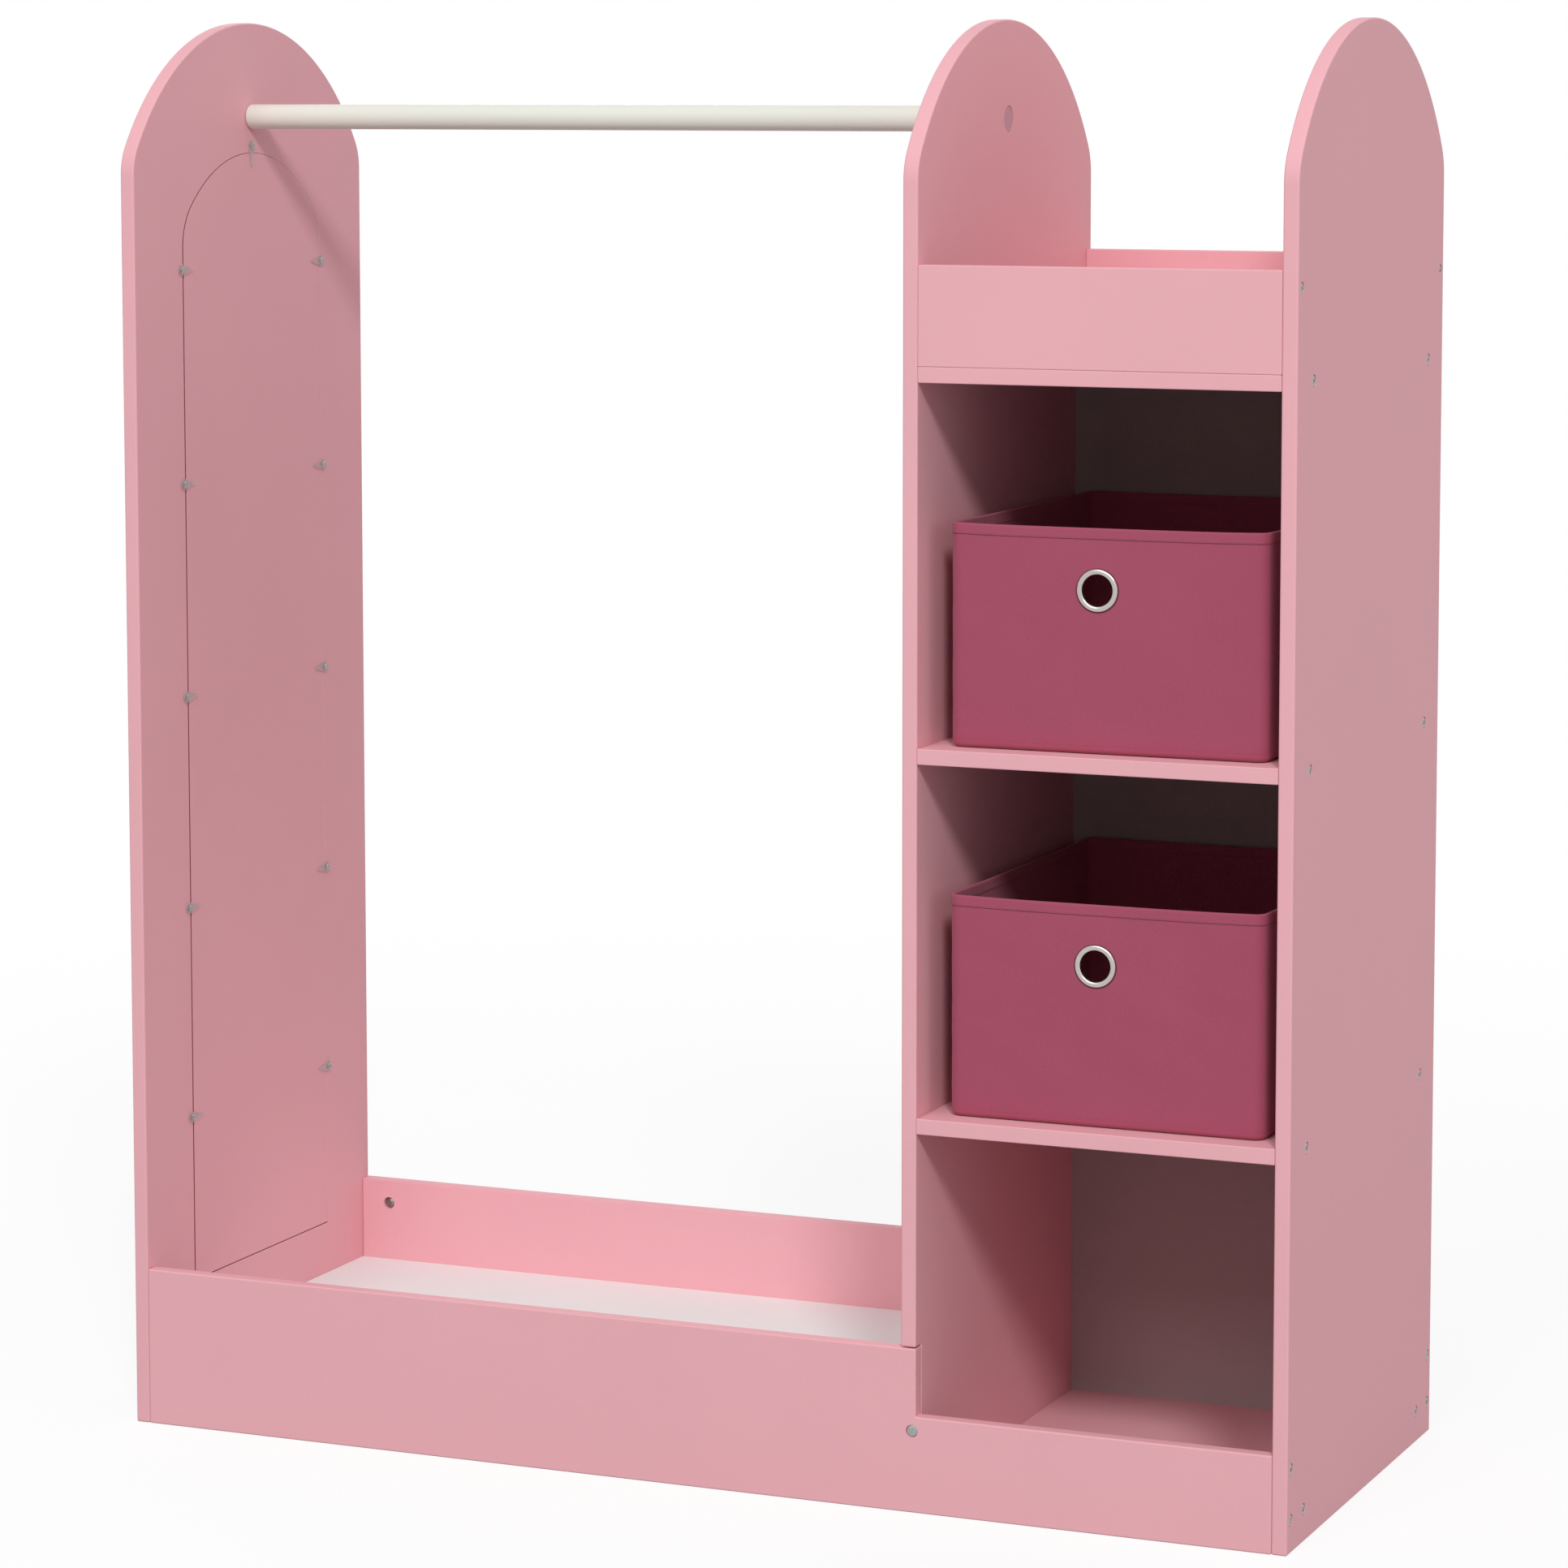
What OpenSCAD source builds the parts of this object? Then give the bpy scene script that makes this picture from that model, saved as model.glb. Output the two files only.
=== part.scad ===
// Dress-up storage unit for a child: clothes rail over a tray on the left, open cabinet with two
// fabric boxes on the right, and a mirror set in the outer face of the left side panel.
// X runs from the mirror side to the cabinet side, the front faces -Y, and Z is up.
// The origin is on the floor, in the middle of the footprint.

/* [Overall] */
// Width over the two outer side panels
unit_w = 966; // [820:1:1200]
// Depth of the side panels, front to back
unit_d = 380; // [340:1:460]
// Height to the top of the arches
unit_h = 1121.5; // [1080:0.5:1300]
// Thickness of the painted boards
board_t = 12; // [12:0.5:15]

/* [Arched tops] */
// Radius of the wide crown arc of a side panel
crown_r = 220; // [200:1:260]
// Radius of the small arc where the crown meets the straight edge
shoulder_r = 40; // [15:1:80]

/* [Cabinet] */
// Clear width between the middle and the right side panel
cabinet_w = 280; // [268:1:340]
// Clear height of the open bottom bay, over the cabinet floor
lower_bay_h = 278; // [240:1:300]
// Clear height of the bay for the lower box
middle_bay_h = 267; // [200:1:290]
// Clear height of the bay for the upper box
upper_bay_h = 272; // [200:1:290]
// Height of the front lip and the rear rail over the top shelf
lip_h = 75; // [40:1:100]
// Thickness of the back panels
back_t = 4; // [3:0.5:6]
// Distance from the rear edge of the sides to the front face of the back panels
back_inset = 34.5; // [26:0.5:38]
// Depth of the grooves that hold the back panels
groove_depth = 5; // [3:0.5:6]
// Play of a back panel in its grooves, on each face
groove_play = 0.25; // [0.1:0.05:0.4]

/* [Base] */
// Height of the front and rear base boards along the tray
base_h = 126; // [110:1:140]
// Height of the base boards in front of and behind the cabinet
base_low_h = 74; // [70:1:90]
// Height of the tray floor's upper face
tray_floor_z = 57; // [50:1:70]
// Gap over the base boards where the middle panel is notched
notch_gap = 1; // [0.5:0.1:2]
// Width of the cleat that carries the cabinet floor, out from the side panel
cleat_w = 15; // [12:1:20]
// Height of the floor cleat
cleat_h = 26; // [22:1:30]

/* [Mirror] */
// Width of the panel's border on each side of the arched cut-out for the mirror
side_border = 75.5; // [65:0.5:95]
// Height of the cut-out's lower edge over the floor
cutout_z = 100; // [90:1:140]
// Width of the panel's border over the crown of the cut-out
top_border = 105.5; // [103.5:0.5:160]
// Radius of the crown arc of the cut-out
cutout_crown_r = 142; // [130:1:180]
// Radius of the small arc where the cut-out's crown meets its straight edge
cutout_shoulder_r = 48; // [20:1:60]
// Width of the lip that the mirror rests against
mirror_lip = 8; // [4:0.5:12]
// Thickness of the mirror
mirror_t = 3; // [2:0.5:3]
// Thickness of the backing board, which ends flush with the panel
backing_t = 3; // [2:0.5:3]
// Gap between the cut-out and the mirror or backing, all round
mirror_gap = 0.8; // [0.3:0.1:0.9]

/* [Mirror clips] */
// Number of clips along each straight edge of the backing
clips_per_side = 5; // [2:1:5]
// Distance from the cut-out's lower edge up to the lowest clips
low_clip_rise = 136; // [80:1:160]
// Distance from the end of the cut-out's straight edges down to the highest clips
high_clip_drop = 16.4; // [10:0.1:80]
// Distance from the cut-out's edge to a side clip's screw
clip_screw_inset = 3; // [3:0.5:6]
// Distance from the cut-out's crown to the top clip's screw
top_clip_inset = 6; // [3:0.5:8]
// Length from a clip's screw to its tip
clip_reach = 17.5; // [12:0.5:22]
// Radius of a clip's round end
clip_r = 5.5; // [4.5:0.5:7]
// Radius of a clip's tip
clip_tip_r = 1.2; // [0.8:0.1:2]
// Thickness of a clip
clip_t = 1.5; // [1.5:0.1:2.5]
// Gap between a clip and the panel face that it turns over
clip_gap = 0.3; // [0.2:0.05:0.5]
// Diameter of a clip screw's shank
clip_screw_d = 3; // [2.5:0.1:3.5]
// Diameter of a clip screw's flat head
clip_head_d = 5.2; // [4.8:0.1:6]
// Length of a clip screw under the panel face
clip_screw_bite = 9; // [6:0.5:10]
// Radial running clearance between a clip and its screw
clip_play = 0.08; // [0.03:0.01:0.1]

/* [Hanging rod] */
// Diameter of the rod
rod_d = 20; // [16:0.5:25]
// Distance from the top of the arches down to the rod's centre
rod_drop = 76; // [60:0.5:80]
// Depth of the rod's end below the middle panel's outer face
rod_recess = 2.4; // [2:0.1:4]
// Thickness of the cap on the rod's end
cap_t = 1.2; // [0.8:0.1:1.8]
// Radius of the rounding on the rod's free-standing end
rod_round = 3; // [1:0.5:4]
// Length of the screw that holds the rod to the left panel
rod_screw_len = 45; // [30:1:60]

/* [Fabric boxes] */
// Gap between a box and the cabinet's sides, shared out to the left and the right
box_side_gap = 16.5; // [8:0.5:40]
// Gap behind a box, before the back panel
box_rear_gap = 13.5; // [5:0.5:40]
// Height of a box
box_h = 168; // [140:1:190]
// Thickness of a box wall
box_wall = 3; // [2:0.5:4]
// Radius of a box's upright corners
box_corner_r = 6; // [5:0.5:12]
// Sideways offset of a box from the cabinet's middle
box_offset = 1.5; // [-5:0.5:5]
// Setback of a box from the front of the cabinet
box_setback = 20; // [10:0.5:21]
// Gap between a box and its shelf
box_gap = 0.3; // [0.2:0.05:0.5]
// Thickness of the stiff base board inside a box
box_base_t = 2.5; // [2:0.5:4]
// Play between a box's base board and its walls
box_base_play = 0.5; // [0.3:0.1:1]
// Height of the finger ring's centre over a box's bottom
ring_z = 121.5; // [90:0.5:125]
// Sideways offset of the finger ring from a box's middle
ring_offset = -6.5; // [-20:0.5:20]
// Outer diameter of the finger ring
ring_od = 32; // [28:0.5:40]
// Inner diameter of the finger ring
ring_id = 23.6; // [20:0.1:26]
// Thickness of the ring's front flange
ring_flange = 1.6; // [1:0.1:2.5]
// Thickness of the washer behind the ring
ring_washer = 0.8; // [0.5:0.1:1.5]
// Wall of the ring's sleeve through the fabric
ring_sleeve = 0.6; // [0.4:0.1:1]

/* [Fasteners] */
// Diameter of a cabinet screw's head
screw_head_d = 9; // [8:0.5:10]
// Depth of the flat part of a screw's head
screw_rim = 0.6; // [0.4:0.1:1]
// Depth of the conical part of a screw's head
screw_cone = 2.4; // [1.5:0.1:3]
// Diameter of a cabinet screw's shank
screw_d = 4; // [3.5:0.1:4.5]
// Wall between the end of a base board's screw and the back panel's groove
screw_end_wall = 2; // [1:0.5:4]
// Length of a cabinet screw
screw_len = 48; // [40:1:60]
// Length of the screws into the floor cleat
cleat_screw_len = 24; // [20:0.5:25]
// Radial gap between a screw and its hole
screw_play = 0.05; // [0.02:0.01:0.1]
// Distance from the front or rear edge to the screws of a shelf
shelf_screw_inset = 40; // [30:1:60]
// Distance from the front or rear edge to the screws of an upright board
edge_screw_inset = 9; // [5:0.5:9]
// Distance from the top of the lip and rail down to their screws
lip_screw_drop = 13; // [8:0.5:20]
// Height of the lower screws of the base boards and of the cleat's screws
low_screw_z = 25; // [24:0.5:27]
// Height of the upper screws of the base boards
base_screw_z = 63; // [50:0.5:66]
// Distance from the middle panel's cabinet face to the base boards' screws
mid_screw_inset = 3; // [3:0.5:6]
// Diameter of a connector bolt's head
bolt_head_d = 10; // [8:0.5:12]
// Thickness of a connector bolt's head
bolt_head_t = 1.8; // [1.2:0.1:3]
// Diameter of a connector bolt's shank
bolt_d = 5; // [4:0.5:6]
// Diameter of a barrel nut
nut_d = 10; // [9:0.5:11]
// Length of a barrel nut
nut_len = 8.8; // [7:0.1:8.8]
// Distance from a base board's end to its barrel nuts
nut_inset = 26; // [20:1:35]
// Height of the upper barrel nuts over the floor
upper_nut_z = 106; // [80:1:108]
// Diameter of the wooden dowels
dowel_d = 6; // [5:0.5:6]
// Length of the wooden dowels
dowel_len = 24; // [20:1:30]
// Depth of a dowel in the board that it crosses
dowel_bite = 8; // [6:0.5:9]

/* [Hidden] */
$fn = 64;

pink = [0.86, 0.66, 0.68];
board_white = [0.93, 0.90, 0.89];
back_grey = [0.78, 0.75, 0.74];
cream = [0.89, 0.88, 0.83];
raspberry = [0.63, 0.31, 0.40];
zinc = [0.70, 0.70, 0.68];
clip_grey = [0.68, 0.64, 0.64];
silver = [0.80, 0.83, 0.86];
mauve = [0.63, 0.46, 0.52];
beech = [0.80, 0.66, 0.48];
card = [0.45, 0.24, 0.30];

over = 1;                                        // how far a cut runs past a face
left_x = -unit_w / 2;                            // outer face of the left panel, with the mirror
left_in = left_x + board_t;
right_x = unit_w / 2;
right_in = right_x - board_t;
mid_right = right_in - cabinet_w;                // the middle panel's cabinet face
mid_left = mid_right - board_t;
front_y = -unit_d / 2;
rear_y = unit_d / 2;
inner_front_y = front_y + board_t;               // behind the front base board
inner_rear_y = rear_y - board_t;                 // before the rear base board
back_y = rear_y - back_inset;                    // front face of the back panels

floor_top = board_t;
lower_shelf_z = floor_top + lower_bay_h;         // undersides of the shelves
upper_shelf_z = lower_shelf_z + board_t + middle_bay_h;
top_shelf_z = upper_shelf_z + board_t + upper_bay_h;
tray_top = top_shelf_z + board_t;
lip_top = tray_top + lip_h;
lip_screw_z = lip_top - lip_screw_drop;
box_mid_x = (mid_right + right_in) / 2 + box_offset;

shelf_zs = [lower_shelf_z, upper_shelf_z, top_shelf_z];
shelf_screw_ys = [front_y + shelf_screw_inset, rear_y - shelf_screw_inset];
edge_screw_ys = [front_y + edge_screw_inset, rear_y - edge_screw_inset];
nut_zs = [low_screw_z, upper_nut_z];
edge_board_ys = [front_y + board_t / 2, rear_y - board_t / 2];
mid_screw_x = mid_right - mid_screw_inset;
base_screw_len = back_inset - back_t - groove_play - screw_end_wall;
dowel_ys = [front_y + unit_d / 4, rear_y - unit_d / 4];
lip_dowel_xs = [mid_right + cabinet_w / 4, right_in - cabinet_w / 4];
cleat_dowel_ys = [front_y + unit_d / 4, rear_y - unit_d / 4];
tray_floor_mid_z = tray_floor_z - board_t / 2;

cutout_w = unit_d - 2 * side_border;
cutout_top = unit_h - top_border;
cutout_spring = arch_spring(cutout_w, cutout_top, cutout_crown_r, cutout_shoulder_r);
mirror_x = left_in - backing_t - mirror_t;       // the mirror's outer face, on the lip
clip_x = left_in + clip_gap;
side_clip_y = cutout_w / 2 + clip_screw_inset;
top_clip_z = cutout_top + top_clip_inset;
clip_first_z = cutout_z + low_clip_rise;
clip_pitch = (cutout_spring - high_clip_drop - clip_first_z) / (clips_per_side - 1);
clip_zs = [for (i = [0:clips_per_side - 1]) clip_first_z + i * clip_pitch];
clip_head_depth = (clip_head_d - clip_screw_d) / 2;
clip_tip_x = clip_reach - clip_tip_r;            // from the screw to the centre of the tip's arc

box_w = cabinet_w - 2 * box_side_gap;
box_d = unit_d - back_inset - box_setback - box_rear_gap;
box_front_y = front_y + box_setback;
box_mid_y = box_front_y + box_d / 2;
upper_box_z = upper_shelf_z + board_t + box_gap;
lower_box_z = lower_shelf_z + board_t + box_gap;
sleeve_r = ring_id / 2 + ring_sleeve;

rod_z = unit_h - rod_drop;
rod_len = mid_right - rod_recess - left_in;

// ---- shapes in the Y-Z plane ----

// Height at which the straight sides of an arched board end and its small arcs begin
function arch_spring(w, top, crown, shoulder) =
    top - crown + sqrt(pow(crown - shoulder, 2) - pow(w / 2 - shoulder, 2));

// An arched board: straight sides, a wide crown arc and two small arcs that join them
module arch_outline(w, bottom, top, crown, shoulder) {
    reach = crown - shoulder;
    side = w / 2 - shoulder;
    centre_z = top - crown;
    spring = arch_spring(w, top, crown, shoulder);
    rise = spring - centre_z;
    far_y = 2 * crown * side / reach;
    far_z = centre_z + 2 * crown * rise / reach;
    translate([-w / 2, bottom]) square([w, spring - bottom]);
    for (s = [-1, 1]) translate([s * side, spring]) circle(r = shoulder, $fn = 96);
    intersection() {
        translate([0, centre_z]) circle(r = crown, $fn = 256);
        polygon([[0, centre_z], [far_y, far_z], [far_y, centre_z + 2 * crown],
            [-far_y, centre_z + 2 * crown], [-far_y, far_z]]);
    }
}

// The board outline pulled in by a margin on every side
module inner_arch(w, bottom, top, crown, shoulder, inset) {
    arch_outline(w - 2 * inset, bottom + inset, top - inset, crown - inset, shoulder - inset);
}

module cutout_shape(inset) {
    inner_arch(cutout_w, cutout_z, cutout_top, cutout_crown_r, cutout_shoulder_r, inset);
}

// Stand a Y-Z outline up as a board whose -X face is at x
module upright(x, t) {
    translate([x, 0, 0]) rotate([90, 0, 90]) linear_extrude(t) children();
}

// A round pin or hole along X, Y or Z, from p over length len
module rod_x(p, d, len) { translate(p) rotate([0, 90, 0]) cylinder(d = d, h = len); }
module rod_y(p, d, len) { translate(p) rotate([-90, 0, 0]) cylinder(d = d, h = len); }
module rod_z(p, d, len) { translate(p) cylinder(d = d, h = len); }

module block(x0, x1, y0, y1, z0, z1) {
    translate([x0, y0, z0]) cube([x1 - x0, y1 - y0, z1 - z0]);
}

// Turn a fastener that points down -Z so that its head faces the given side
module facing(side) {
    turn = side == "+x" ? [0, 90, 0] : side == "-x" ? [0, -90, 0]
        : side == "-y" ? [90, 0, 0] : side == "+y" ? [-90, 0, 0] : side == "-z" ? [180, 0, 0] : [0, 0, 0];
    rotate(turn) children();
}

// ---- fasteners ----

module screw_body(len, head, shank, rim, cone, extra) {
    rotate_extrude() polygon([[0, 0], [head / 2 + extra, 0], [head / 2 + extra, -rim - extra],
        [shank / 2 + extra, -rim - cone - extra], [shank / 2 + extra, -len - extra], [0, -len - extra]]);
}

module cross_recess(size, depth) {
    for (a = [0, 90]) rotate([0, 0, a])
        translate([-size / 2, -size / 10, -depth]) cube([size, size / 5, depth + over]);
}

module cabinet_screw(p, side, len) {
    translate(p) facing(side) difference() {
        screw_body(len, screw_head_d, screw_d, screw_rim, screw_cone, 0);
        cross_recess(screw_head_d * 0.55, screw_cone * 0.75);
    }
}

module screw_hole(p, side, len) {
    translate(p) facing(side) {
        screw_body(len, screw_head_d, screw_d, screw_rim, screw_cone, screw_play);
        cylinder(d = screw_head_d + 2 * screw_play, h = over);
    }
}

// ---- where the screws go ----

module at_right_panel_screws() {
    for (y = edge_screw_ys) {
        translate([right_x, y, lip_screw_z]) children();
        for (z = [low_screw_z, base_screw_z]) translate([right_x, y, z]) children();
    }
    for (z = shelf_zs, y = shelf_screw_ys) translate([right_x, y, z + board_t / 2]) children();
}

module at_cleat_side_screws() {
    for (y = shelf_screw_ys) translate([right_x, y, floor_top + cleat_h / 2]) children();
}

module at_middle_panel_screws() {
    for (y = edge_screw_ys) translate([mid_left, y, lip_screw_z]) children();
    for (z = shelf_zs, y = shelf_screw_ys) translate([mid_left, y, z + board_t / 2]) children();
    for (y = shelf_screw_ys) translate([mid_left, y, floor_top / 2]) children();
}

module right_panel_screw_holes() {
    at_right_panel_screws() screw_hole([0, 0, 0], "+x", screw_len);
    at_cleat_side_screws() screw_hole([0, 0, 0], "+x", cleat_screw_len);
}

module middle_panel_screw_holes() {
    at_middle_panel_screws() screw_hole([0, 0, 0], "-x", screw_len);
}

module base_board_screw_holes() {
    screw_hole([mid_screw_x, front_y, base_screw_z], "-y", base_screw_len);
    screw_hole([mid_screw_x, rear_y, base_screw_z], "+y", base_screw_len);
}

module cleat_screw_holes() {
    for (y = cleat_dowel_ys) screw_hole([right_in - cleat_w / 2, y, 0], "-z", cleat_screw_len);
}

module bolt_holes() {
    play = 2 * screw_play;
    for (y = edge_board_ys, z = nut_zs) {
        rod_x([left_x - over, y, z], bolt_head_d + play, bolt_head_t + over);
        rod_x([left_x, y, z], bolt_d + play, board_t + nut_inset + nut_d / 2 + over);
    }
}

module nut_holes() {
    depth = board_t / 2 + nut_len / 2 + screw_play;
    for (z = nut_zs) {
        x = left_in + nut_inset;
        rod_y([x, inner_front_y + over, z] - [0, depth + over, 0], nut_d + 2 * screw_play, depth + over);
        rod_y([x, inner_rear_y - over, z], nut_d + 2 * screw_play, depth + over);
    }
}

// The dowels that carry the tray floor, in the left panel's and the middle panel's inner faces
module at_tray_floor_dowels() {
    for (y = dowel_ys) {
        translate([left_in - dowel_bite, y, tray_floor_mid_z]) children();
        translate([mid_left + dowel_bite - dowel_len, y, tray_floor_mid_z]) children();
    }
}

module tray_floor_dowel_holes() {
    at_tray_floor_dowels() rod_x([-screw_play, 0, 0], dowel_d + 2 * screw_play, dowel_len + 2 * screw_play);
}

module at_top_tray_dowels() {
    for (x = lip_dowel_xs, y = edge_board_ys) translate([x, y, tray_top - dowel_bite]) children();
}

module top_tray_dowel_holes() {
    at_top_tray_dowels() rod_z([0, 0, -screw_play], dowel_d + 2 * screw_play, dowel_len + 2 * screw_play);
}

// ---- side panels ----

module panel_board(x) {
    upright(x, board_t) arch_outline(unit_d, 0, unit_h, crown_r, shoulder_r);
}

// The shape that the front and rear base boards share, seen from the front
module base_outline() {
    translate([left_in, 0]) square([mid_right - left_in, base_h]);
    translate([left_in, 0]) square([right_in - left_in, base_low_h]);
}

module back_grooves() {
    play = groove_play;
    for (x = [mid_right - groove_depth - play, right_in - over])
        block(x, x + groove_depth + play + over, back_y - play, back_y + back_t + play,
            floor_top, top_shelf_z);
}

module at_side_clips(side) {
    for (z = clip_zs) translate([left_in, side * side_clip_y, z]) children();
}

module clip_screw_holes() {
    for (s = [-1, 1]) at_side_clips(s) clip_pilot();
    translate([left_in, 0, top_clip_z]) clip_pilot();
}

module clip_pilot() {
    rod_x([-clip_screw_bite - screw_play, 0, 0], clip_screw_d + 2 * screw_play, clip_screw_bite + over);
}

module rod_screw_hole() {
    screw_hole([left_x, 0, rod_z], "-x", rod_screw_len);
}

module left_side_panel() {
    color(pink) difference() {
        panel_board(left_x);
        upright(mirror_x, mirror_t + backing_t + over) cutout_shape(0);
        upright(left_x - over, board_t) cutout_shape(mirror_lip);
        clip_screw_holes();
        rod_screw_hole();
        bolt_holes();
        tray_floor_dowel_holes();
    }
}

module middle_panel() {
    notch_d = board_t;
    color(pink) difference() {
        panel_board(mid_left);
        block(mid_left - over, mid_right + over, front_y - over, front_y + notch_d,
            -over, base_h + notch_gap);
        block(mid_left - over, mid_right + over, rear_y - notch_d, rear_y + over,
            -over, base_h + notch_gap);
        rod_x([mid_left - over, 0, rod_z], rod_d + 4 * screw_play, board_t + 2 * over);
        middle_panel_screw_holes();
        base_board_screw_holes();
        tray_floor_dowel_holes();
        back_grooves();
    }
}

module right_side_panel() {
    color(pink) difference() {
        panel_board(right_in);
        right_panel_screw_holes();
        back_grooves();
    }
}

// ---- mirror ----

module mirror_glass() {
    color(silver) upright(mirror_x, mirror_t) cutout_shape(mirror_gap);
}

module mirror_backing() {
    color(pink) upright(left_in - backing_t, backing_t) cutout_shape(mirror_gap);
}

// A teardrop clip about its screw, pointing along +Z before it is turned
module clip_plate() {
    slope = acos((clip_r - clip_tip_r) / clip_tip_x);
    round_end = [for (i = [0:32]) slope + (360 - 2 * slope) * i / 32];
    tip = [for (i = [0:8]) slope * (i / 4 - 1)];
    difference() {
        rotate([0, -90, 180]) linear_extrude(clip_t) polygon(concat(
            [for (a = round_end) clip_r * [cos(a), sin(a)]],
            [for (a = tip) [clip_tip_x, 0] + clip_tip_r * [cos(a), sin(a)]]));
        rod_x([-over, 0, 0], clip_screw_d + 2 * clip_play, clip_t + 2 * over);
        translate([clip_t - clip_head_depth, 0, 0]) rotate([0, 90, 0])
            cylinder(d1 = clip_screw_d + 2 * clip_play, d2 = clip_head_d + 2 * clip_play,
                h = clip_head_depth);
    }
}

// The turn about X points a clip from the screw towards the backing
module side_clip(side, number) {
    if (number <= clips_per_side)
        color(clip_grey) translate([clip_x, side * side_clip_y, clip_zs[number - 1]])
            rotate([side * 90, 0, 0]) clip_plate();
}

module mirror_clip_top() {
    color(clip_grey) translate([clip_x, 0, top_clip_z]) rotate([180, 0, 0]) clip_plate();
}

module clip_screw() {
    top = clip_gap + clip_t;
    translate([top, 0, 0]) facing("+x") difference() {
        screw_body(clip_screw_bite + top, clip_head_d, clip_screw_d, 0, clip_head_depth, 0);
        cross_recess(clip_head_d * 0.55, clip_head_depth);
    }
}

module mirror_clip_screws() {
    color(zinc) {
        for (s = [-1, 1]) at_side_clips(s) clip_screw();
        translate([left_in, 0, top_clip_z]) clip_screw();
    }
}

// ---- base ----

module base_board(y) {
    translate([0, y + board_t, 0]) rotate([90, 0, 0]) linear_extrude(board_t) base_outline();
}

module front_base_board() {
    color(pink) difference() {
        base_board(front_y);
        right_panel_screw_holes();
        base_board_screw_holes();
        bolt_holes();
        nut_holes();
    }
}

module rear_base_board() {
    color(pink) difference() {
        base_board(inner_rear_y);
        right_panel_screw_holes();
        base_board_screw_holes();
        bolt_holes();
        nut_holes();
    }
}

module tray_floor() {
    color(board_white) difference() {
        block(left_in, mid_left, inner_front_y, inner_rear_y, tray_floor_z - board_t, tray_floor_z);
        tray_floor_dowel_holes();
    }
}

module cabinet_floor() {
    color(pink) difference() {
        block(mid_right, right_in, inner_front_y, inner_rear_y, 0, floor_top);
        middle_panel_screw_holes();
        cleat_screw_holes();
    }
}

module floor_cleat() {
    color(pink) difference() {
        block(right_in - cleat_w, right_in, inner_front_y, back_y, floor_top, floor_top + cleat_h);
        right_panel_screw_holes();
        cleat_screw_holes();
    }
}

// ---- shelves ----

module shelf(z) {
    color(pink) difference() {
        block(mid_right, right_in, front_y, rear_y, z, z + board_t);
        right_panel_screw_holes();
        middle_panel_screw_holes();
        top_tray_dowel_holes();
    }
}

module lower_shelf() { shelf(lower_shelf_z); }
module upper_shelf() { shelf(upper_shelf_z); }
module top_shelf() { shelf(top_shelf_z); }

module tray_edge(y) {
    color(pink) difference() {
        block(mid_right, right_in, y, y + board_t, tray_top, lip_top);
        right_panel_screw_holes();
        middle_panel_screw_holes();
        top_tray_dowel_holes();
    }
}

module top_front_lip() { tray_edge(front_y); }
module top_rear_rail() { tray_edge(inner_rear_y); }

module back_panel(z0, z1) {
    reach = groove_depth - groove_play;
    color(back_grey) block(mid_right - reach, right_in + reach, back_y, back_y + back_t, z0, z1);
}

module lower_back_panel() { back_panel(floor_top, lower_shelf_z); }
module middle_back_panel() { back_panel(lower_shelf_z + board_t, upper_shelf_z); }
module upper_back_panel() { back_panel(upper_shelf_z + board_t, top_shelf_z); }

// ---- hanging rod ----

module hanging_rod() {
    r = rod_d / 2;
    color(cream) difference() {
        translate([left_in, 0, rod_z]) rotate([0, 90, 0]) union() {
            translate([0, 0, rod_round]) cylinder(r = r, h = rod_len - rod_round);
            cylinder(r = r - rod_round, h = rod_round);
            translate([0, 0, rod_round]) rotate_extrude() translate([r - rod_round, 0]) circle(r = rod_round);
        }
        rod_screw_hole();
    }
}

module rod_end_cap() {
    color(mauve) {
        rod_x([mid_right - rod_recess, 0, rod_z], rod_d, cap_t);
        rod_x([mid_right - rod_recess + cap_t, 0, rod_z], rod_d * 0.72, cap_t / 2);
    }
}

module rod_screw() {
    color(zinc) cabinet_screw([left_x, 0, rod_z], "-x", rod_screw_len);
}

// ---- screws, bolts and dowels ----

module right_panel_screws() {
    color(zinc) {
        at_right_panel_screws() cabinet_screw([0, 0, 0], "+x", screw_len);
        at_cleat_side_screws() cabinet_screw([0, 0, 0], "+x", cleat_screw_len);
    }
}

module middle_panel_screws() {
    color(zinc) at_middle_panel_screws() cabinet_screw([0, 0, 0], "-x", screw_len);
}

module base_board_screws() {
    color(zinc) {
        cabinet_screw([mid_screw_x, front_y, base_screw_z], "-y", base_screw_len);
        cabinet_screw([mid_screw_x, rear_y, base_screw_z], "+y", base_screw_len);
    }
}

module cleat_screws() {
    color(zinc) for (y = cleat_dowel_ys)
        cabinet_screw([right_in - cleat_w / 2, y, 0], "-z", cleat_screw_len);
}

module panel_bolts() {
    color(zinc) for (y = edge_board_ys, z = nut_zs) difference() {
        union() {
            rod_x([left_x, y, z], bolt_head_d, bolt_head_t);
            rod_x([left_x, y, z], bolt_d, board_t + nut_inset + nut_d / 2);
        }
        hex_socket([left_x, y, z]);
    }
}

module hex_socket(p) {
    translate(p - [over, 0, 0]) rotate([0, 90, 0])
        cylinder(d = bolt_head_d * 0.45, h = over + bolt_head_t * 0.8, $fn = 6);
}

module barrel_nut(y_end, side, z) {
    x = left_in + nut_inset;
    y0 = side > 0 ? y_end : y_end - nut_len;
    difference() {
        rod_y([x, y0, z], nut_d, nut_len);
        rod_x([x - nut_d, y0 + nut_len / 2, z], bolt_d + 2 * screw_play, 2 * nut_d);
        translate([x - nut_d / 2, side > 0 ? y_end - over : y_end - 1, z - nut_d / 14])
            cube([nut_d, 1 + over, nut_d / 7]);
    }
}

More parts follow.
